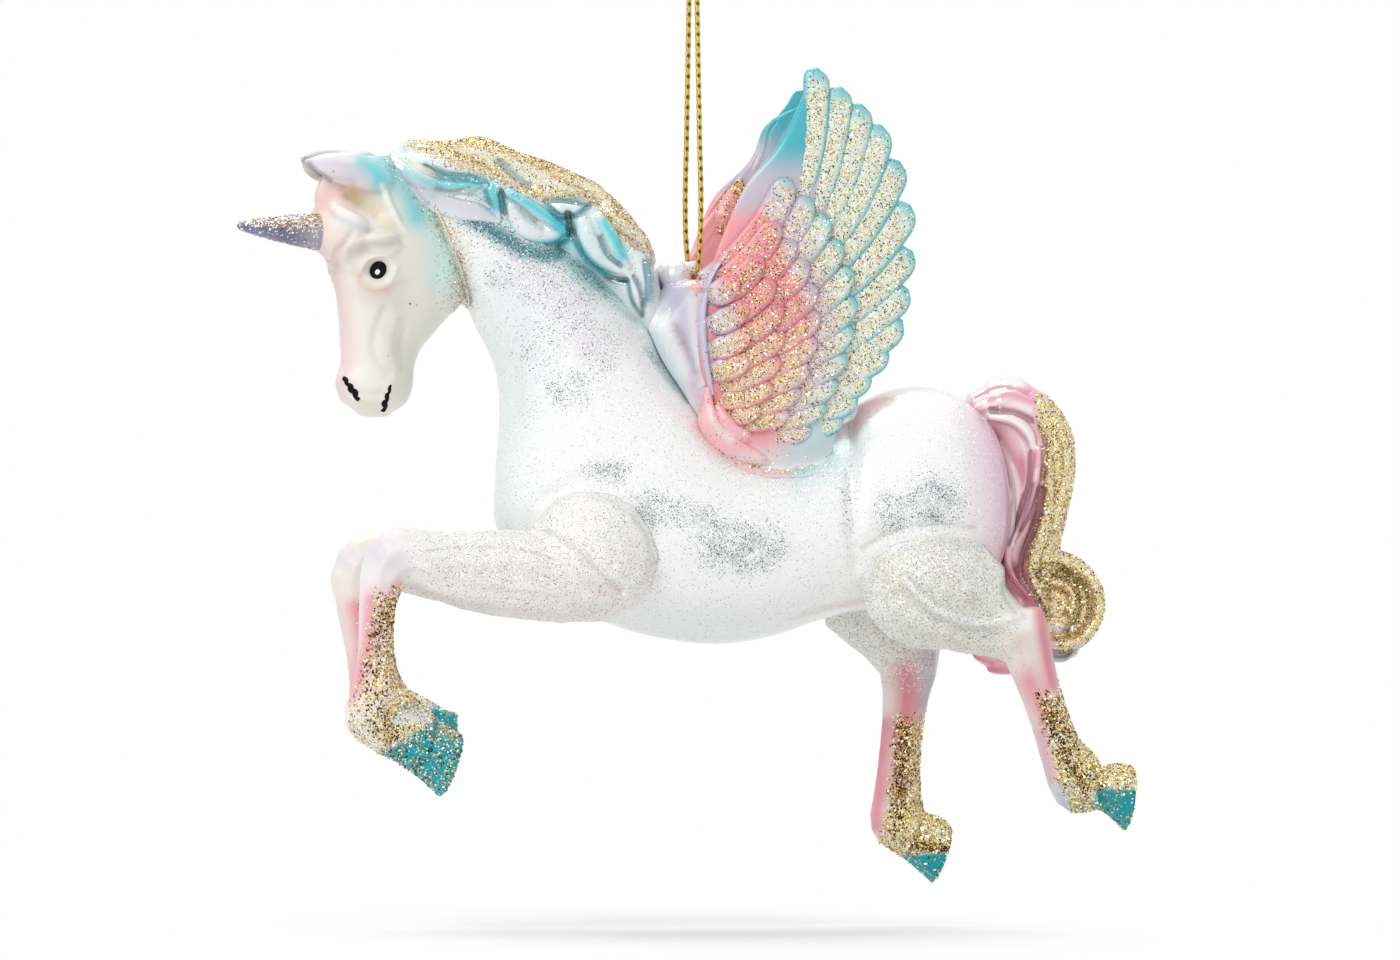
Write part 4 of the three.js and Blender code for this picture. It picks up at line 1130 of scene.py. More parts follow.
MANE_PAINT = [
    # Painted highlight along the front lock.
    ("fdfefe", 0.8, 6, "398,160 420,168 445,172 470,172"),
    ("5cdbe2", 0.95, 6, "404,172 420,181 445,186 475,184"),
    ("d6d1de", 0.8, 12, "412,186 432,198 460,206 484,212"),
    ("c3e6e9", 0.5, 7, "392,160 402,172 414,186 428,200"),
    ("b5afc0", 0.7, 2.5, "391,157 399,170 411,184 427,204"),
    ("3ad0d8", 0.95, 8, "490,184 494,196 498,206"),
    ("38d0d9", 0.95, 6, "512,194 532,206 550,218 564,228"),
    ("e6e5ec", 0.7, 9, "512,212 528,230 545,236"), ("20c4d0", 0.95, 8, "558,222 564,232 566,240"),
    ("d5f0f1", 0.7, 5, "556,207 576,208"), ("c9eff0", 0.5, 6, "583,225 590,245 604,262"),
    ("30ccd5", 0.9, 5, "506,226 516,239 535,245 560,241"), ("30ccd5", 0.9, 5, "578,246 589,262 606,273"),
    ("38d0d8", 0.95, 6.5, "605,222 615,240 622,255"), ("4b9fb0", 0.7, 4, "648,262 651,280 650,298"),
]
brush(mane, p, MANE_PAINT)
# Painted shade along the carved grooves, in their darker colours.
brush(mane, p, groove_paint(MANE_GROOVES, 1.45))
# The lower edge of the gold on the crest
CROWN = "395,146 425,153 450,166 487,178 525,194 543,202 565,198 588,202 611,224 625,242 653,256"
CREST_GAP = "499,162 512,172 531,186"
CREST_FROST = "440,162 465,168 490,180 520,195"
CROWN_COLUMNS = (398, 425)
line = curve(dots(CROWN), 90)
edge = np.interp(p[:, 0], line[:, 0], line[:, 1])
gold = ease(4, -8, p[:, 1] - edge) * ease(*CROWN_COLUMNS, p[:, 0])
gold = gold * (1 - 0.8 * near(p, CREST_GAP, 3.5))
rim_gold = ease(0.1, 0.9, mane.normals()[:, 2]) * gold
hem = gold * np.maximum(rim_gold, near(p, CROWN, 7))
mane.tint("f3ecd0", 0.75 * gold)
mane.tint("b28c50", 0.7 * hem)
mane.mask("gold_dust", 0.2 * gold + 0.4 * hem)
mane.mask("frost", 0.05 + 0.5 * near(p, CREST_FROST, 7))
mane.object("mane_locks", mane_glass, ["glass_mane"], "teal_glass")
MANE_GLITTER = {"pale": 5, "light": 6, "gold": 6, "bronze": 2.5, "dark": 1, "silver": 2}
scatter("mane_glitter", mane, 0.35 * gold + hem, count=11000, radius=0.12, kinds=MANE_GLITTER, lift=0.04)

# Legs: the frame's solids with fine muscles, joints and hooves
FORE_CAP = np.array([-17.2, -40.3])
FORE_KNEE = np.array([-47, -43])
FORE_SWING = math.radians(1.5)
KNEE_BEND = math.radians(12)


def turned(points, pivot, angle, weight):
    """Points turned about a point of the side view."""
    x, z = points[:, 0] - pivot[0], points[:, 2] - pivot[1]
    angle = angle * weight
    out = points.copy()
    out[:, 0] = pivot[0] + x * np.cos(angle) - z * np.sin(angle)
    out[:, 2] = pivot[1] + x * np.sin(angle) + z * np.cos(angle)
    return out


def right_fore_as_left(points):
    """The right foreleg laid over the left one."""
    points = turned(flip(points), FORE_CAP, -FORE_SWING, 1)
    below = ease(-41, -49, points[:, 2])
    return turned(points, FORE_KNEE, -KNEE_BEND, below * ease(-38, -44, points[:, 0]))


FORE_CREASE = "545,531 575,549 600,573 622,592"
FORE_STROKES = [
    (FORE_CREASE, 4, -0.55),
    ("400,545 430,548 480,545 530,548", 10, 0.2),
    ("415,572 450,580 500,592 560,600", 7, -0.22),
    ("430,590 470,598 520,606", 5, 0.2),
    ("370,575 384,566 396,572", 10, 0.3),
    ("366,592 382,596 400,603", 6, -0.3),
    ("384,612 380,650 377,685", 4, -0.3),
    ("371,612 367,650 363,690", 4, 0.2),
    ("358,712 368,722 378,716", 11, 0.35),
    ("388,708 394,726 392,742", 5, -0.35),
    ("404,712 420,722 430,730", 7, 0.35),
    ("438,714 437,736 429,758 418,770", 3, -0.55),
]
HIND_STROKES = [
    ("905,578 925,600 950,615 975,622 1000,622 1020,614", 5, 0.8),
    ("900,594 925,615 955,630 990,636", 6, -0.4),
    ("895,565 925,585 960,602 1000,605", 9, -0.3),
    ("1012,640 1024,632 1040,630", 8, 0.3),
    ("1030,672 1044,708 1058,738", 4, -0.3),
    ("1044,668 1056,700 1070,728", 4, 0.2),
    ("1060,780 1075,790 1088,785", 11, 0.35),
    ("1096,760 1100,780 1104,806", 3, -0.55),
]
FAR_HIND_STROKES = [
    ("895,690 892,740 890,790", 5, 0.2), ("906,690 904,740 904,790", 4, -0.3),
    ("884,822 898,832 910,826", 11, 0.35), ("922,818 918,838 906,856", 3, -0.55),
]
FORE_PAINT = [
    # Painted shade under the forearm.
    ("e4dcdc", 0.6, 14, "420,592 470,602 540,612 600,612"),
    ("e9d3d6", 0.6, 9, "585,582 612,592"), ("e6d9db", 0.5, 10, "440,570 500,572 560,580"),
    # Painted shade in the creases (next two rows).
    ("bdb8b8", 0.5, 1.6, "425,551 470,547 520,550 556,560"),
    ("c4bebe", 0.5, 1.8, FORE_CREASE),
    ("ddd8df", 0.75, 18, "368,546 390,562"),
    ("f0a6b3", 0.7, 6, "384,597 391,591 398,585"), ("eed3ce", 0.8, 20, "386,600 380,640 375,690"),
    ("e796a1", 0.8, 8, "370,600 368,640 359,675 351,700"),
    ("e9e8de", 0.8, 18, "366,716 385,724"), ("3fb0cc", 0.9, 7, "399,711 415,706"),
]
FORE_HOOF_PAINT = [
    ("dcdff0", 0.9, 8, "397,722 412,715 427,717"), ("2aa3c6", 0.9, 2.5, "434,718 436,735 434,746"),
    ("b9ad80", 0.8, 7, "445,727 458,732"),
]
LEFT_HIND_PAINT = [
    # Painted shade along the thigh's grooves (next two rows) and a painted highlight on its ridge (ffffff
    # below).
    ("d9d5c4", 0.75, 16, "880,560 905,590 940,606 985,612"),
    ("e0ddd0", 0.7, 12, "900,625 940,640 990,645"),
    ("e9d2d4", 0.5, 9, "935,560 955,575"), ("ffffff", 0.95, 4, "905,580 925,601 950,616 985,624"),
    ("e6d6cd", 0.85, 17, "1020,644 1028,668"), ("fdfaf8", 0.9, 8, "1012,622 1030,620"),
    ("e48c99", 0.9, 8, "1040,612 1046,650 1052,685"), ("de8f9b", 0.85, 15, "1030,684 1046,716"),
    ("d7aab6", 0.8, 10, "1042,735 1052,778"), ("bcc5d8", 0.8, 9, "1060,794 1070,808 1086,812"),
    ("eadfb8", 0.6, 14, "1080,760 1092,780"), ("45b0b8", 0.8, 6, "1076,806 1092,806"),
    ("f3ecd0", 0.8, 12, "1106,772 1128,770"),
]
RIGHT_HIND_PAINT = [
    # Painted shade: blue-grey down the far hind leg's right side (first row).
    ("bcc6d8", 0.75, 13, "932,652 932,680 926,702"), ("dc818d", 0.9, 15, "906,672 908,700 904,728"),
    ("c88a80", 0.8, 14, "904,740 900,790"), ("dc8795", 0.9, 10, "884,724 880,770 876,825"),
    ("e6dcb8", 0.7, 14, "900,815 912,832"), ("f3ecd0", 0.8, 12, "925,826 942,826"),
    ("4f5d4c", 0.8, 5, "918,846 934,848 946,848"),
]
FORE_SHANK = "373,590 367,640 363,670 353,700 349,725"
FORE_DARK = "384,600 376,640 370,690 378,722 392,735"
FORE_HOOF_RIM = "399,720 414,714 428,718"
LEFT_SHANK = "1036,690 1048,740 1058,780 1072,808"
LEFT_DARK = "1043,698 1056,730 1068,760 1084,784"
LEFT_HOOF_RIM = "1105,788 1130,790"
RIGHT_SHANK = "896,722 895,760 891,800 883,840"
RIGHT_DARK = "904,722 900,770 897,826"
RIGHT_HOOF_RIM = "918,846 946,848"
LEG_SETTLE = 2.2
LEG_SWELL = 0.07
# Pixels on the upper edges of the teal hooves: column and row, or the row alone
FORE_HOOF = (405, 735)
LEFT_HOOF_ROW = 788
RIGHT_HOOF = (925, 853)
# Pixel rows and columns between which a tint, glitter or bare part comes in, from none to full
FORE_HOOF_ROWS = (692, 708)
FORE_PALE_COLUMNS = (450, 400)
FORE_GOLD_ROWS = (583, 607)
FORE_GOLD_COLUMNS = (374, 390)
FOREARM_COLUMNS = (406, 420)
FOREARM_ROWS = (700, 680)
FORE_FROST_COLUMNS = (395, 450)
FORE_FROST_ROWS = (660, 600)
LEFT_HOOF_COLUMNS = (1090, 1099)
LEFT_GOLD_ROWS = (682, 706)
LEFT_FROST_COLUMNS = (1030, 985)
LEFT_FROST_ROWS = (690, 640)
RIGHT_GOLD_ROWS = (708, 732)
RIGHT_FROST_ROWS = (700, 650)
# The left forehoof's right edge in the picture: columns at two rows, and the rows where it starts
HOOF_EDGE = (457, 448)
HOOF_EDGE_ROWS = (716, 790)
HOOF_START_ROWS = (700, 716)
THIGH_SLIM = 1.6
THIGH_END = (1022, 588)
THIGH_REACH = (24, 36)
HOOF_TEAL = "0099a6"
LEG_REST = "f4f6f5"
LEG_GOLD = {"pale": 9, "light": 5, "gold": 5, "bronze": 2}
LEG_DARK = {"bronze": 2, "dark": 4}
LEG_FLAKE = 0.165


def leg(name, strokes, lay=None):
    clay = union([node_shell(name)], VOXEL["leg"]).smooth(45).push(LEG_SWELL)
    return settle(clay, body_tree, LEG_SETTLE, 1.5).carve(strokes, lay, lay is not None)


def leg_glitter(name, clay, gold, dark, bare=0.0):
    """Gold flakes where gold is high and fewer dark ones where dark is high."""
    clay.tint(LEG_REST, 0.85 * clay.rest)
    clay.mask("gold_dust", (0.55 - 0.3 * bare) * np.clip(gold, 0, 1))
    clay.object(name + "_cast", cast, [name], "rose_cast")
    few = 1 - 0.7 * bare
    scatter(name + "_glitter", clay, gold + 1e-6, int(4600 * few), LEG_FLAKE, LEG_GOLD)
    scatter(name + "_specks", clay, dark + 1e-6, int(1300 * few), LEG_FLAKE, LEG_DARK)


def hind_gold(clay, pixels, base, rows, hoof, shank, soft, top):
    """Paints a hind leg, and says where its gold lies: right of the shank's line and below its top."""
    clay.tint(base)
    brush(clay, pixels, rows)
    clay.tint(HOOF_TEAL, hoof)
    return beyond(pixels, shank, soft) * ease(*top, uneven_rows(pixels)) * (1 - 0.85 * hoof)


def uneven_rows(pixels):
    """Pixel rows shifted up and down, for edges of glitter that are not straight."""
    return pixels[:, 1] + 2 * np.sin(pixels[:, 0] * 0.47) + 4 * np.sin(pixels[:, 0] * 0.19 + 1)


left_fore = leg("left_foreleg", FORE_STROKES)
right_fore = leg("right_foreleg", FORE_STROKES, right_fore_as_left)
p = photo(right_fore.co)
# The toe of the right forehoof is flattened where it would show past the left one
past_edge = p[:, 0] - np.interp(p[:, 1], HOOF_EDGE_ROWS, HOOF_EDGE)
over = np.clip(past_edge, 0, 12) * ease(*HOOF_START_ROWS, p[:, 1])
right_fore.co -= np.outer(over * PIXEL, TO_RIGHT)
left_hind = leg("left_hind_leg", HIND_STROKES)
left_hind.push(-THIGH_SLIM * spot(photo(left_hind.co), THIGH_END, THIGH_REACH))
right_hind = leg("right_hind_leg", FAR_HIND_STROKES)
for clay, name, p, bare in ((left_fore, "left_foreleg", photo(left_fore.co), 0.0),
                            (right_fore, "right_foreleg", photo(right_fore_as_left(right_fore.co)), 0.9)):
    hoof_slope = (p[:, 0] - FORE_HOOF[0]) * 0.55 + (p[:, 1] - FORE_HOOF[1]) * 0.83
    hoof = ease(-4, 8, hoof_slope) * ease(*FORE_HOOF_ROWS, p[:, 1])
    clay.tint("f6f3f2")
    clay.tint("f0e7df", bare * ease(*FORE_PALE_COLUMNS, p[:, 0]))
    brush(clay, p, FORE_PAINT)
    clay.tint("00a4b6", hoof)
    brush(clay, p, FORE_HOOF_PAINT)
    shank = beyond(p, FORE_SHANK, 4)
    gold = shank * ease(*FORE_GOLD_ROWS, uneven_rows(p))
    gold = gold * (0.45 + 0.55 * ease(*FORE_GOLD_COLUMNS, p[:, 0])) * (1 - 0.68 * hoof)
    gold = gold * (1 - 0.55 * near(p, FORE_HOOF_RIM, 8))
    gold = gold * (1 - ease(*FOREARM_COLUMNS, p[:, 0]) * ease(*FOREARM_ROWS, p[:, 1]))
    dark = gold * near(p, FORE_DARK, 11) + 0.12 * hoof
    frosted = (0.5 - 0.25 * clay.rest) * ease(*FORE_FROST_COLUMNS, p[:, 0])
    clay.mask("frost", frosted * ease(*FORE_FROST_ROWS, p[:, 1]))
    leg_glitter(name, clay, gold, dark, bare)

p = photo(fold(left_hind.co))
hoof = ease(-4, 4, p[:, 1] - LEFT_HOOF_ROW) * ease(*LEFT_HOOF_COLUMNS, p[:, 0])
gold = hind_gold(left_hind, p, "f1f0ea", LEFT_HIND_PAINT, hoof, LEFT_SHANK, soft=6, top=LEFT_GOLD_ROWS)
dark = gold * near(p, LEFT_DARK, 9) + 0.2 * gold * near(p, LEFT_HOOF_RIM, 6)
frosted = (0.9 - 0.55 * left_hind.rest) * ease(*LEFT_FROST_COLUMNS, p[:, 0])
left_hind.mask("frost", frosted * ease(*LEFT_FROST_ROWS, p[:, 1]))
leg_glitter("left_hind_leg", left_hind, gold, dark)

p = photo(right_hind.co)
hoof = ease(-3, 4, p[:, 1] - RIGHT_HOOF[1] + 0.1 * (p[:, 0] - RIGHT_HOOF[0]))
gold = hind_gold(right_hind, p, "e9e7e0", RIGHT_HIND_PAINT, hoof, RIGHT_SHANK, soft=8, top=RIGHT_GOLD_ROWS)
dark = gold * near(p, RIGHT_DARK, 8) + gold * near(p, RIGHT_HOOF_RIM, 6)
right_hind.mask("frost", 0.9 * ease(*RIGHT_FROST_ROWS, p[:, 1]))
leg_glitter("right_hind_leg", right_hind, gold, dark)

# Tail: hair strands over the frame's tail, with the scroll at its end
TAIL_RIBS = [
    (41, -17, 42, -22, 3.4), (45.5, -15, 44.5, -23, 4.4), (51.7, -16.3, 45.5, -25, 4.8),
    (56.4, -22, 46.5, -29, 4.9), (57, -28, 46.5, -33.5, 4.9), (55.8, -34.5, 46.5, -38, 4.8),
    (54.8, -39, 45.5, -42.5, 4.8), (54.4, -45, 44, -47, 4.7), (55.2, -51.3, 42.5, -51.5, 4.5),
    (53.4, -56, 41.8, -55, 3.6), (48.8, -57.3, 44, -56.8, 1.6),
]
SCROLL_CENTRE = np.array([53.5, -47.9])
SCROLL_RADIUS = 6.6
SCROLL_TURNS = 1.4
SCROLL_STRAND = 3.4
SCROLL_WIDTH = 9.2
SCROLL_HEART = 7.2
tail_core = loft(rib_rings(TAIL_RIBS, 110, 40, round_end=1))
share = np.linspace(0, 1, 120)
angle = math.pi / 2 + 0.3 - share * SCROLL_TURNS * 2 * math.pi
radius = SCROLL_RADIUS * (1 - 0.75 * share**1.6)
middle = SCROLL_CENTRE + radius[:, None] * np.stack([np.cos(angle), np.sin(angle)], axis=1)
path = np.stack([middle[:, 0], np.zeros(120), middle[:, 1]], axis=1)
thick = SCROLL_STRAND / 2 * (1 - 0.45 * share)
scroll = strand(path, (0, 1, 0), thick, SCROLL_WIDTH / 2 * (1 + 0.17 * share), 24)
tail_tree = Clay(*joined([tail_core, scroll])).tree()
TAIL_STRANDS = [
    ("962,396 985,384 1010,381 1040,396", (6, 9, 9, 4), 1.0),
    ("984,406 1010,396 1034,402", (4, 7, 4), 1.0),
    ("988,416 1014,420 1030,436 1033,452", (4, 7, 7, 3), 1.3),
    ("999,440 1010,470 1015,500 1008,540", (3, 8, 9, 4), 0.9),
    ("1038,446 1036,482 1026,514 1011,550 1013,572 1030,597 1041,611", (4, 5, 5, 5, 5, 5, 3), 1.5),
    ("1040,402 1058,425 1066,460 1062,500 1054,530", (6, 10, 10, 10, 6), 1.1),
    ("1048,452 1048,490 1046,520 1034,556 1034,584 1046,606", (5, 7, 8, 8, 7, 4), 1.1),
    ("1002,590 1008,625 1024,645 1050,655", (6, 10, 10, 5), 1.0),
    ("985,640 1000,655 1020,664", (5, 8, 5), 1.0),
]
SCROLL_RIM = "1038,647 1049,656 1061,659 1071,655 1078,648"
rim_path = even([at(px, py, 0) for px, py in dots(SCROLL_RIM)], 50)
strands = [strand(rim_path, TO_CAMERA, tapered(50, [0, 0.4, 1], [0.3, 0.75, 0.3]), 3.4)]
strands += draped_pairs(tail_tree, TAIL_STRANDS)
heart = ball((SCROLL_CENTRE[0], 0, SCROLL_CENTRE[1]), (SCROLL_RADIUS, SCROLL_HEART / 2, SCROLL_RADIUS))
tail = union([tail_core, scroll, heart] + strands, VOXEL["tail"])
tail.smooth(6)
# Grooves: line, width, depth, web colour and share; the dark colours are painted shade in the grooves and
# the scroll's hole
TAIL_GROOVES = [
    ("975,398 1000,387 1030,392", 2, -0.3, "e79aab", 0.8),
    ("990,401 1010,395 1032,402", 2.2, -0.2, "ef9fb0", 0.7),
    ("991,410 1016,412 1035,421", 2.6, -0.5, "7d5560", 0.85),
    ("1030,452 1028,482 1018,516 1008,545", 1.8, -0.4, "94626f", 0.85),
    ("1042,490 1035,520 1021,555 1021,574 1038,602 1050,617", 3.6, -0.7, "7c2f41", 0.95),
    ("1040,424 1046,446 1043,478", 2, -0.4, "a2523f", 0.7),
    ("1038,573 1046,566 1060,567 1074,582 1080,602 1076,620 1067,631", 2.6, -0.8, "6b4718", 0.8),
    ("1040,574 1048,582", 3.5, -0.5, "8c3d48", 0.8),
    ("1058,430 1062,460 1056,500", 2, -0.3, "a8853a", 0.5),
]
tail.carve([groove[:3] for groove in TAIL_GROOVES])
p = photo(fold(tail.co))
# The front edge of the gold
TAIL_GOLD = ("1036,390 1038,426 1047,450 1043,482 1045,500 1038,526 1025,562 1030,586 "
             "1040,606 1048,622 1052,634 1060,652 1090,670")
SCROLL_GAP = "1050,628 1062,630 1072,626"
TAIL_GOLD_ROWS = (388, 400)
gold = beyond(p, TAIL_GOLD, 4) * ease(*TAIL_GOLD_ROWS, p[:, 1])
gold = gold * (1 - 0.85 * near(p, SCROLL_GAP, 4))
gold = gold * (1 - 0.9 * near(p, SCROLL_RIM, 5))
TAIL_SHADE = [("7f4a26", 0.6, 4, "1040,426 1048,450 1044,482 1046,502 1038,528 1027,560")]
tail.tint("f4c0cc")
TAIL_PAINT = [
    # Painted highlights: the near-white rows fff7f8, fffafa and fdeef2. Painted dark reflection: the crimson
    # row 8a3c50.
    ("fff7f8", 0.85, 6, "968,394 990,382 1020,384"), ("fff7f8", 0.8, 4, "985,405 1008,402 1030,410"),
    ("fffafa", 0.9, 5, "990,417 1014,421 1029,436 1032,448"), ("f8e2e6", 0.8, 7, "1010,430 1020,448"),
    ("e2a3b0", 0.8, 5, "1022,462 1026,478"),
    ("fffafa", 0.9, 5, "1000,446 1010,470 1016,500 1008,536"),
    ("f0b0c2", 0.7, 4, "1037,456 1035,484 1024,516"), ("fdeef2", 0.8, 2, "1036,470 1028,508 1013,545"),
    ("8a3c50", 0.8, 3, "1033,484 1029,502 1020,530"), ("cf6680", 0.8, 6, "1014,570 1020,590 1034,606"),
    ("e0909d", 0.8, 9, "1000,580 1008,598"), ("e07d90", 0.9, 10, "968,656 988,668 1010,674"),
    ("e3e0ec", 0.9, 5, "1048,628 1062,630 1074,626"), ("a9bccd", 0.95, 6, SCROLL_RIM),
]
brush(tail, p, TAIL_PAINT)
tail.tint("f0e2ae", 0.85 * gold)
# Painted shade along the carved grooves, in their darker colours.
brush(tail, p, groove_paint(TAIL_GROOVES))
brush(tail, p, TAIL_SHADE)
tail.mask("gold_dust", 0.6 * gold)
tail.object("tail_strands", tail_glass, ["glass_tail"], "rose_glass")
TAIL_GLITTER = {"pale": 12, "light": 6, "gold": 3, "bronze": 1.8, "dark": 2, "silver": 4}
scatter("tail_glitter", tail, gold, count=11000, radius=0.14, kinds=TAIL_GLITTER, lift=0.04)

# Wings: a blade with five rows of feathers on its outer face
WING_RIBS = [
    (3, -30, 15, -31, 2.2), (1, -24.5, 18, -27, 2.3), (0.5, -18, 20, -18.5, 2), (-1, -10.5, 23, -10, 1.7),
    (-1, -4, 25, -2, 1.4), (0, 0.5, 25, 6, 1.3), (2.4, 7.5, 23.5, 14, 1.2), (5.2, 13.5, 21, 20, 1.1),
    (9.6, 19, 18, 24.5, 1), (12.7, 25, 15, 27.5, 0.9),
]
WING_ROOT = np.array([11.4, 0, -25])
WING_STAND = np.array([11.4, -8, -25])
WING_LEAN = math.radians(6)
RIGHT_WING_SWEEP = math.radians(6.5)
RIGHT_WING_ADVANCE = 2.6
RIGHT_WING_SIZE = 0.95
PRIMARY_TIPS = ("818,67 842,86 862,103 882,124 900,160 911,204 913,250 909,288 903,319 "
                "889,347 872,372 859,394 845,415")
COVERT_TIPS = ("790,178 810,196 827,214 841,240 852,268 855,297 852,325 846,352 837,379 "
               "826,403 812,426 795,446")
SMALL_TIPS = "777,220 793,238 806,258 815,284 818,310 815,336 808,362 799,387 788,410 773,432"
INNER_TIPS = "760,255 772,278 780,304 782,330 778,356 770,382 759,405"
FIRST_TIPS = "735,275 745,300 748,328 746,355 740,382"
# Rows from the outside in: tips, length in pixels at the top and at the bottom, half width, lift and crown
WING_ROWS = [
    (PRIMARY_TIPS, 195, 100, 2.5, 0.35, 0.8), (COVERT_TIPS, 132, 100, 2.35, 1.25, 0.75),
    (SMALL_TIPS, 108, 92, 2.1, 1.95, 0.7), (INNER_TIPS, 84, 80, 1.95, 2.6, 0.65),
    (FIRST_TIPS, 60, 60, 1.85, 3.1, 0.6),
]
# Feathers point ever flatter from the top of the wing down: pixel row and angle
FEATHER_ANGLES = "66,76 105,67 160,54 205,46 250,39 290,34 345,26 385,18 415,8 460,-8"
WING_RIM = "713,394 706,360 703,330 703,308 708,284 717,266 728,252"
WING_EDGE = "712,390 703,340 703,305 712,265 745,215 775,170 800,105"
SHORTEST_FEATHER = 34
WING_SETTLE = 3
WING_FRONT = ("800,60 795,105 770,170 739,215 709,265 701,305 701,340 705,380 711,398 "
              "722,412 738,428 752,440 770,452 785,470")
RIGHT_TINT_SHIFT = 20
WING_FACE = 1.5
FEATHER_STEPS = 44
FEATHER_SIDES = 28
FEATHER_OVERLAP = 0.32
BARB_PITCH = 0.55
BARB_HEIGHT = 0.035
# How far from its tip a feather narrows, in half widths, and how blunt it is
PRIMARY_END = (1.15, 2.3)
COVERT_END = (1.5, 2.0)
# The right wing's tip leans back and up, and its front edge is drawn forward: distance, height and spread
TIP_HEIGHTS = (18, 29)
TIP_SHIFT = (2.0, 0, 1.2)
FRONT_REACH = 9
FRONT_BULGES = [(1.2, 15, 8), (2.6, 25.5, 3.8)]
# Soft folds below the feathers: pixels and half widths
BASE_FOLDS = [
    ("708,386 709,402 711,418 719,433 736,446 758,454 780,459", (0.5, 0.8, 1.5, 1.9, 1.6, 1.2, 0.5)),
    ("717,403 724,417 737,429 754,439", (0.5, 1.3, 1.5, 0.6)),
]
WING_CORE = "742,240 765,295 766,350 745,410"
FOLD_SHINE = "711,408 716,424 732,438"
PAD_MIDDLE = "748,335"
# Pixel rows and columns between which a tint or glitter comes in, from none to full
FEATHER_GOLD_ROWS = (300, 400)
FEATHER_CREAM_ROWS = (290, 380)
FOLD_PALE_ROWS = (446, 456)
FOLD_TEAL_COLUMNS = (780, 815)
BASE_GOLD_ROWS = (446, 462)
BASE_PALE_ROWS = (438, 456)
BASE_PALE_COLUMNS = (800, 770)
BASE_TEAL_ROWS = (392, 415)
BASE_TEAL_COLUMNS = (765, 800)
TIP_LILAC_ROWS = (225, 198)
TIP_TEAL_ROWS = (185, 142)


def wing_local(pixels):
    """Points of the wing's own plane where pixels of the near wing lie."""
    points = []
    for px, py in dots(pixels):
        rise = at(px, py, WING_STAND[1])[2] - WING_ROOT[2]
        x, _, z = at(px, py, WING_STAND[1] - rise * math.sin(WING_LEAN) - WING_FACE)
        points.append((x, 0, WING_ROOT[2] + (z - WING_ROOT[2]) / math.cos(WING_LEAN)))
    return np.array(points)


def wing_posed(points, sweep, advance, size):
    turn = Matrix.Rotation(WING_LEAN, 3, "X") @ Matrix.Rotation(sweep, 3, "Y")
    return (points - WING_ROOT) * size @ np.array(turn).T + WING_STAND - (advance, 0, 0)


def wing_pixels(points):
    """The near wing's pixels for points of the wing's own plane."""
    return photo(wing_posed(points, 0, 0, 1))


def feather(root, tip, half_width, lift, crown, bend, taper, blunt):
    """A puffy blade with a round tip and slanting barbs. Its lower edge overlaps the next feather."""
    share = np.linspace(0, 1, FEATHER_STEPS)
    angle = around(FEATHER_SIDES)
    length = np.linalg.norm(tip - root)
    along = (tip - root) / length
    across = np.cross(along, (0, 1, 0))
    width = half_width * (0.7 + 0.3 * ease(0, 0.5, share))
    end = np.clip((share * length - length + taper * half_width) / (taper * half_width), 0, 1)
    width = width * np.sqrt(np.clip(1 - end**blunt, 0.002, 1))
    spine = root + np.outer(share * length, along) - np.outer(np.sin(np.pi * share) * bend, across)
    side = np.cos(angle)
    rise = np.sin(angle)
    puff = np.where(rise > 0, crown * np.abs(rise) ** 0.8, -0.35 * np.abs(rise))
    body = np.clip(width / half_width, 0.2, 1)[:, None] * puff[None, :]
    slant = share[:, None] * length - np.abs(side)[None, :] * half_width * 0.9
    barbs = BARB_HEIGHT * np.cos(2 * np.pi * slant / BARB_PITCH)
    body = body + barbs * np.clip(rise, 0, 1)[None, :] * ease(0.05, 0.35, np.abs(side))[None, :]
    height = lift * (0.25 + 0.75 * ease(0, 0.3, share[:, None])) + 0.3 * share[:, None]
    height = height - FEATHER_OVERLAP * side[None, :] + body
    rings = tube(spine, across[None], np.array([[0, -1, 0]]), width[:, None] * side, height)
    edge = np.maximum(ease(0.5, 0.95, np.abs(side))[None, :], ease(0.86, 1.0, share)[:, None])
    outer = np.broadcast_to(ease(-0.1, 0.3, rise), edge.shape)
    return loft(rings), np.append(edge.ravel(), [0, 1]), np.append(outer.ravel(), [0, 0])


def plain(shell, tier):
    """A part of the wing without edges and outer faces of feathers."""
    none = np.zeros(len(shell[0]))
    return shell, none, none, tier


blade = loft(rib_rings(WING_RIBS, 130, 72, round_end=0.8))
pixels = wing_pixels(blade[0])
inward = line_distance(pixels, WING_EDGE)
streak = np.cos(2 * np.pi * inward / 7) + np.cos(2 * np.pi * inward / 4.3)
blade[0][:, 1] += 0.07 * ease(0.1, 0.6, blade[0][:, 1]) * streak
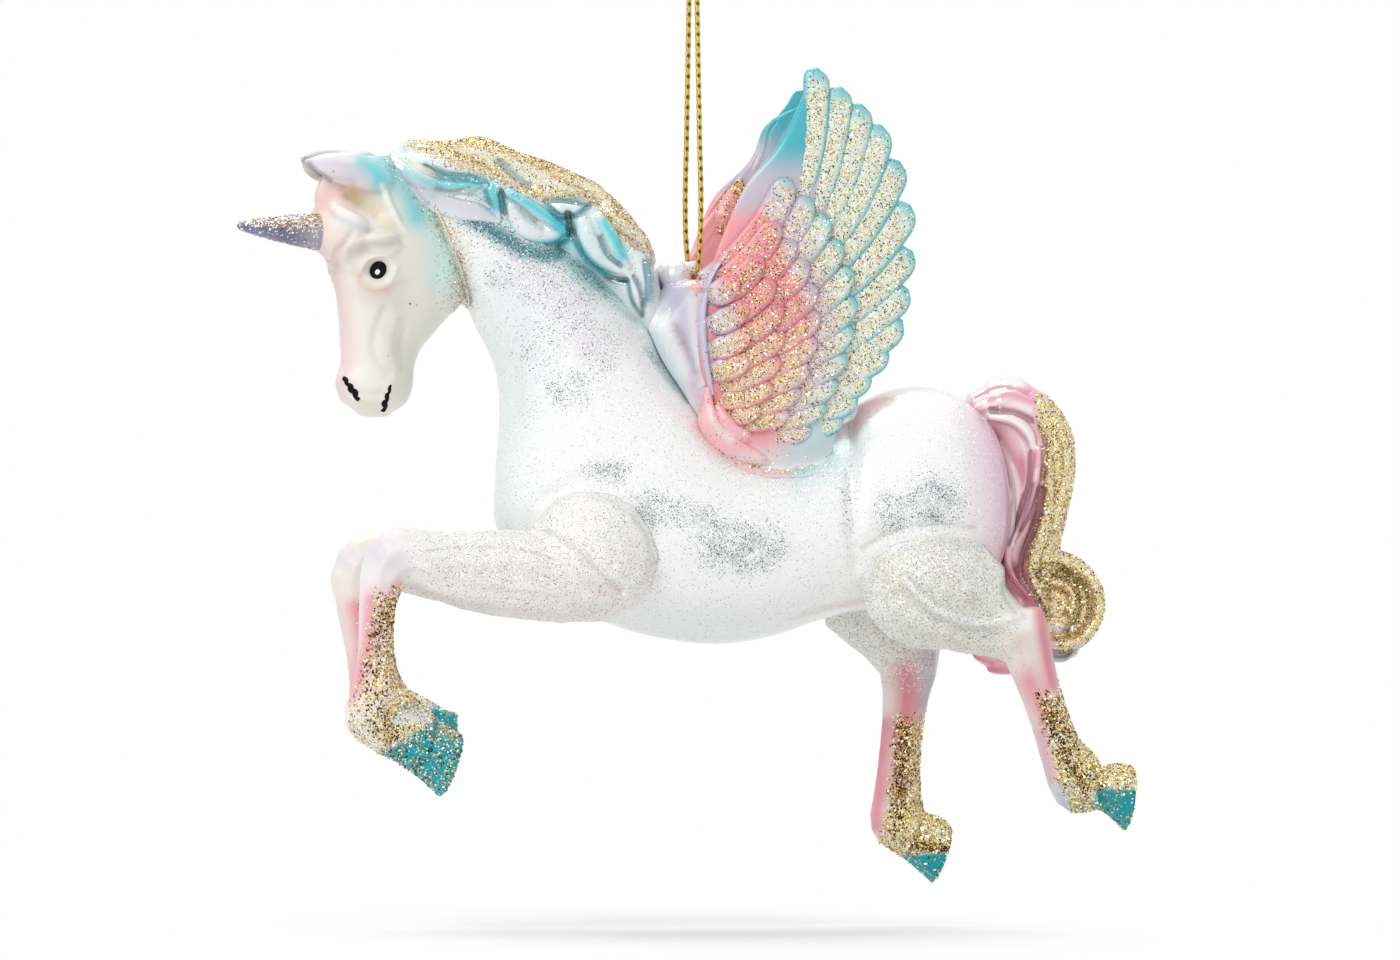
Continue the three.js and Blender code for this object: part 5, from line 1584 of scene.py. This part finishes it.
# Parts of a wing: shell, feather edges, outer faces and tier (0 blade, 1 to 5 rows, then rim, folds and pad)
RIM_TIER, FOLD_TIER, PAD_TIER = 6, 7, 8
parts = [plain(blade, 0)]
for row, (tips, top, bottom, half_width, lift, crown) in enumerate(WING_ROWS):
    tips = dots(tips)
    for k, (px, py) in enumerate(tips):
        down = k / (len(tips) - 1)
        lean = math.radians(np.interp(py, *dots(FEATHER_ANGLES).T))
        length = top + (bottom - top) * down
        reach = np.arange(length, 24, -2)
        front = np.interp(py + reach * math.sin(lean), *dots(WING_FRONT).T[::-1])
        inside = reach[px - reach * math.cos(lean) > front]
        if not len(inside) or inside[0] < SHORTEST_FEATHER:
            continue
        length = inside[0]
        ends = wing_local([(px - length * math.cos(lean), py + length * math.sin(lean)), (px, py)])
        bend = (1.3 - 0.9 * down) * length / 110 + rng.uniform(-0.1, 0.1)
        wide = half_width * rng.uniform(0.95, 1.05) * (0.8 if row == 0 and k < 2 else 1)
        end = PRIMARY_END if row == 0 else COVERT_END
        raised = lift + rng.uniform(-0.06, 0.06)
        parts.append((*feather(*ends, wide, raised, crown, bend, *end), row + 1))
rim_path = even(wing_local(WING_RIM), 90)
rim_width = tapered(90, [0, 0.5, 1], [0.35, 0.65, 0.2])
rim_depth = tapered(90, [0, 0.15, 0.75, 1], [0.4, 1.1, 1.1, 0.3])
parts.append(plain(strand(rim_path - (0, 1.3, 0), (0, -1, 0), rim_width, rim_depth), RIM_TIER))
pad = ball(wing_local(PAD_MIDDLE)[0] - (0, 0.6, 0), (7.2, 2.4, 13), 60)
parts.append(plain(pad, PAD_TIER))
for line, widths in BASE_FOLDS:
    path = even(wing_local(line), 60) - (0, 1.1, 0)
    half = smoothed(widths, 60)
    parts.append(plain(strand(path, (0, -1, 0), half, 1.5 * np.clip(half, 0.4, 1.2), 24), FOLD_TIER))
shells = joined([part[0] for part in parts])
edges = np.concatenate([part[1] for part in parts])
outers = np.concatenate([part[2] for part in parts])
tiers = np.concatenate([np.full(len(part[0][0]), part[3]) for part in parts])
p = wing_pixels(shells[0])
away = line_distance(p, WING_CORE) + 7 * np.sin(p[:, 0] / 19) * np.sin(p[:, 1] / 23)
FRONT_EDGE = np.array(WING_RIBS)[:, :2]
feathered = (tiers > 0) & (tiers < RIM_TIER)
ridge = feathered * (1 - edges) * outers
smooth = (tiers == 0) | (feathered & (outers < 0.3))
folds = tiers == FOLD_TIER
low = ease(70, 30, away)
bright = (ridge**1.5 + 0.02 * feathered * outers) * (1 + 1.5 * low * ease(*FEATHER_GOLD_ROWS, p[:, 1]))
bright = bright + 0.25 * (smooth | folds) * ease(*BASE_GOLD_ROWS, p[:, 1])
specks = (ridge + 0.1 * feathered * outers) + 1e-6
WING_GLITTER = {"pale": 8, "light": 6, "gold": 3.5, "bronze": 1, "silver": 4}
WING_SPECKS = {"bronze": 1, "dark": 3}
for side, name in ((-1, "left_wing"), (1, "right_wing")):
    place = (0, 0, 1) if side < 0 else (RIGHT_WING_SWEEP, RIGHT_WING_ADVANCE, RIGHT_WING_SIZE)
    own = shells[0].copy()
    if side > 0:
        own += np.outer(ease(*TIP_HEIGHTS, own[:, 2]), TIP_SHIFT)
        behind = own[:, 0] - np.interp(own[:, 2], FRONT_EDGE[:, 1], FRONT_EDGE[:, 0])
        front = ease(FRONT_REACH, 0, behind)
        for forward, height, spread in FRONT_BULGES:
            own[:, 0] -= forward * front * np.exp(-((own[:, 2] - height) / spread) ** 2)
    shell = [wing_posed(own, *place), shells[1], shells[2]]
    wing = Clay(*(shell if side < 0 else mirror_shell(shell)))
    settle(wing, body_tree, WING_SETTLE, 1.5)
    down = photo(wing.co)[:, 1] + (RIGHT_TINT_SHIFT if side > 0 else 0)
    for code, weight in [
        ("f09aa0", 1),
        ("d3c5d6", ease(26, 52, away)),
        ("a9dfe0", ease(56, 82, away)),
        # Painted shade: deeper tints along the edges of the overlapping feathers (next three rows).
        ("4fbcc5", 0.85 * edges * ease(55, 85, away) * feathered),
        ("a892ac", 0.6 * edges * ease(30, 45, away) * ease(85, 60, away) * feathered),
        ("cf6f7d", 0.6 * edges * ease(50, 28, away) * feathered),
        # Pale crests: the glitter's colour and painted highlight (next three rows).
        ("f2f4e8", 0.8 * ridge * ease(52, 80, away)),
        ("ecdfe4", 0.5 * ridge * ease(28, 45, away) * ease(80, 55, away)),
        ("f7e6cf", 0.6 * ridge * ease(60, 30, away) * ease(*FEATHER_CREAM_ROWS, p[:, 1])),
        ("cbc8dc", 0.95 * (tiers == RIM_TIER)),
        ("f6bcc0", 0.95 * folds),
        # Painted highlight on the fold.
        ("fde3e2", 0.8 * folds * near(p, FOLD_SHINE, 4)),
        ("ecdcdc", 0.8 * folds * ease(*FOLD_PALE_ROWS, p[:, 1])),
        ("8fd0d3", folds * ease(*FOLD_TEAL_COLUMNS, p[:, 0])),
        ("f0a3a8", 0.95 * smooth),
        ("c6c3d0", 0.95 * smooth * ease(*TIP_LILAC_ROWS, down)),
        ("30b5c2", 0.95 * smooth * ease(*TIP_TEAL_ROWS, down)),
        ("ecdcdc", 0.9 * smooth * ease(*BASE_PALE_ROWS, p[:, 1]) * ease(*BASE_PALE_COLUMNS, p[:, 0])),
        ("c4e2e4", 0.9 * smooth * ease(*BASE_TEAL_ROWS, p[:, 1]) * ease(*BASE_TEAL_COLUMNS, p[:, 0])),
        ("e98a94", 0.8 * (tiers == PAD_TIER)),
        (LEG_REST, 0.8 * wing.rest * (tiers == 0)),
    ]:
        wing.tint(code, weight)
    wing.mask("gold_dust", 0.3 * ridge + 0.05 * (tiers >= RIM_TIER))
    wing.object(name + "_feathers", wing_cast, [name], "wing_cast")
    scatter(name + "_glitter", wing, bright, count=19000, radius=0.12, kinds=WING_GLITTER, lift=0.05)
    scatter(name + "_specks", wing, specks, count=4200, radius=0.11, kinds=WING_SPECKS)

# The right wing's inner lobe, seen past the cord
LOBE_PAINT = [("f7c9c6", 0.7, 6, "722,190 718,212"), ("d98a8c", 0.6, 3, "742,190 741,214 728,230")]
LOBE_EDGE = "733,180 743,193 741,214 724,232"
LOBE = [(741, 181, 11.2), (735, 196, 11), (727, 213, 10.7), (720, 233, 10.3)]
lobe_line = even([at(*place) for place in LOBE], 50)
lobe_width = tapered(50, [0, 0.3, 0.7, 1], [0.4, 1.5, 1.7, 0.6])
lobe = Clay(*strand(lobe_line, TO_CAMERA, lobe_width, 0.9 * lobe_width / 1.7, 24))
lobe.tint("f0a3a8")
p = photo(lobe.co)
brush(lobe, p, LOBE_PAINT)
lobe.object("right_wing_lobe", wing_cast)
lobe_edge = near(p, LOBE_EDGE, 6) + 0.15
LOBE_GLITTER = {"pale": 4, "light": 5, "gold": 5, "bronze": 3, "dark": 2}
scatter("right_wing_lobe_glitter", lobe, lobe_edge, count=700, radius=0.135, kinds=LOBE_GLITTER)

# Saddle between the wings, with the lump that the cord goes through
WEB_ROWS = [286, 310, 335, 360, 385, 410, 430]
WEB_LEFT = [664, 648, 652, 662, 678, 692, 703]
WEB_RIGHT = [705, 703, 702, 704, 707, 713, 719]
WEB_DEPTHS = (-1.2, -9.8)
CORD_EYE = "692,272"
SADDLE_HEM = "705,432 730,457 780,469 830,460"
SADDLE_END = (812, 832)
SADDLE_END_ROW = 380
SADDLE_SINK = 0.5
SADDLE_SETTLE = 5
WEB_HALF_DEPTH = 0.7
angle = around(24)
rings = []
left_edge, right_edge = (even(np.stack([WEB_ROWS, columns], 1), 40) for columns in (WEB_LEFT, WEB_RIGHT))
for (row, left), (_, right) in zip(left_edge, right_edge):
    ends = at(left, row, WEB_DEPTHS[0]), at(right, row, WEB_DEPTHS[1])
    half = (ends[1] - ends[0]) / 2
    out = np.cross(half, (0, 0, 1)) / np.linalg.norm(half)
    ring = ends[0] + half + np.outer(np.cos(angle), half)
    rings.append(ring + np.outer(np.sin(angle), out) * WEB_HALF_DEPTH)
web = loft(np.array(rings))
LUMP = at(676, 277, -1.2)
CHIN = at(694, 290, -3.4)
lump = ball(LUMP, (2.3, 2, 2.3))
# The right lump is smaller and leaves room for the cord when the ornament swings
right_lump = ball(flip(LUMP) - (0.6, 0, 0), (2, 1.8, 2.2))
chin = ball(CHIN, (2.6, 2.2, 1.5))
extra = [web, lump, chin, mirror_shell(web), right_lump, mirror_shell(chin)]
saddle = union([node_shell("wing_saddle")] + extra, VOXEL["saddle"])
saddle = settle(saddle.smooth(20).push(0.05), body_tree, SADDLE_SETTLE, 2)
p = photo(fold(saddle.co))
for k in np.flatnonzero((p[:, 0] > SADDLE_END[0]) & (p[:, 1] > SADDLE_END_ROW)):
    place, n, _, _ = body_tree.find_nearest(Vector(saddle.co[k]))
    saddle.co[k] += ease(*SADDLE_END, p[k, 0]) * (np.array(place - n * SADDLE_SINK) - saddle.co[k])
saddle.tint("ecebef")
SADDLE_PAINT = [
    # Painted highlight on the withers (f7f9fa).
    ("c5c1d4", 0.95, 16, "668,290 682,305 692,330"), ("f7f9fa", 0.95, 8, "650,312 660,322 672,326"),
    ("cfe3e8", 0.85, 5, "655,335 666,358 684,390"), ("a795a6", 0.8, 6, "676,326 688,350 696,372"),
    ("dfe0ea", 0.8, 5, "690,300 694,335 700,365"), ("ee8f99", 0.9, 3.5, "702,262 701,300 702,340 707,378"),
    ("c9b6c0", 0.85, 10, "695,385 702,405 708,420"), ("e2adb2", 0.8, 6, "706,400 712,418"),
    ("dff0ee", 0.9, 9, "678,268"), ("f0a9a9", 0.8, 6, "690,284 696,290"),
    *BACK_PAINT,
]
brush(saddle, p, SADDLE_PAINT)
saddle.mask("gold_dust", 0.25 * near(p, CORD_EYE, 12))
saddle.object("saddle_lump", saddle_cast, ["wing_saddle"], "lavender_cast")
base_line = near(p, SADDLE_HEM, 6)
scatter("saddle_glitter", saddle, base_line + 1e-6, count=1500, radius=0.13, kinds=SEAM_FLAKES, lift=0.05)

# Floor, background and soft studio light
AMBIENT = 0.55
FLOOR_SHADE = 0.83
FLOOR_SQUEEZE = (1.7, 0.75, 0)
FLOOR_HALF = 4000
SHADOW_REACH = (0.01, 0.11)
LAMP_AIM = (5, 0, -25)
studio = Graph(bpy.data.worlds.new("studio"))
scene.world = studio.owner
seen = studio.nodes["Background"]
studio.feed(seen.inputs["Color"], WHITE)
studio.feed(seen.inputs["Strength"], 1)
light = studio.node("Background", {"Color": WHITE, "Strength": AMBIENT})
studio.surface("World Output", studio.shown(), light, seen)

# The floor is white to the eye; only round the shadow does it show the light that falls on it
g = new_graph("floor_white")
g.set(Base_Color=(FLOOR_SHADE, FLOOR_SHADE, FLOOR_SHADE), Roughness=0.9)
glow = g.node("Emission", {"Color": WHITE, "Strength": 1})
squeezed = g.vector("MULTIPLY", g.place, FLOOR_SQUEEZE)
away = g.node("VectorMath", {0: squeezed}, operation="LENGTH").outputs["Value"]
reach = {"Value": away, "From Min": SHADOW_REACH[0], "From Max": SHADOW_REACH[1]}
spread = g.node("MapRange", reach, interpolation_type="SMOOTHSTEP").outputs[0]
g.surface("Material Output", g.math("MULTIPLY", g.shown(), spread), g.nodes["Principled BSDF"], glow)
floor_height = (EYE_PIXEL[1] - FLOOR_PIXEL) * PIXEL
corners = [(x * FLOOR_HALF, y * FLOOR_HALF, floor_height) for x, y in ((-1, -1), (1, -1), (1, 1), (-1, 1))]
mesh = bpy.data.meshes.new("floor")
mesh.from_pydata(metres(corners).tolist(), [], [(0, 1, 2, 3)])
mesh.materials.append(g.owner)
floor = placed("floor", mesh)
floor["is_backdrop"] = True


def lamp(name, place, size, power):
    data = bpy.data.lights.new(name, "AREA")
    data.size = size
    data.energy = power
    made = placed(name, data)
    made.location = metres(place)
    aim = Vector(metres(LAMP_AIM)) - made.location
    made.rotation_mode = "QUATERNION"
    made.rotation_quaternion = aim.to_track_quat("-Z", "Y")


lamp("key", TO_RIGHT * -450 + TO_CAMERA * 800 + np.array([0, 0, 650]), 0.6, 5.7)
lamp("top", np.array([0, 330, 850]), 0.7, 4.0)

low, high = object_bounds()
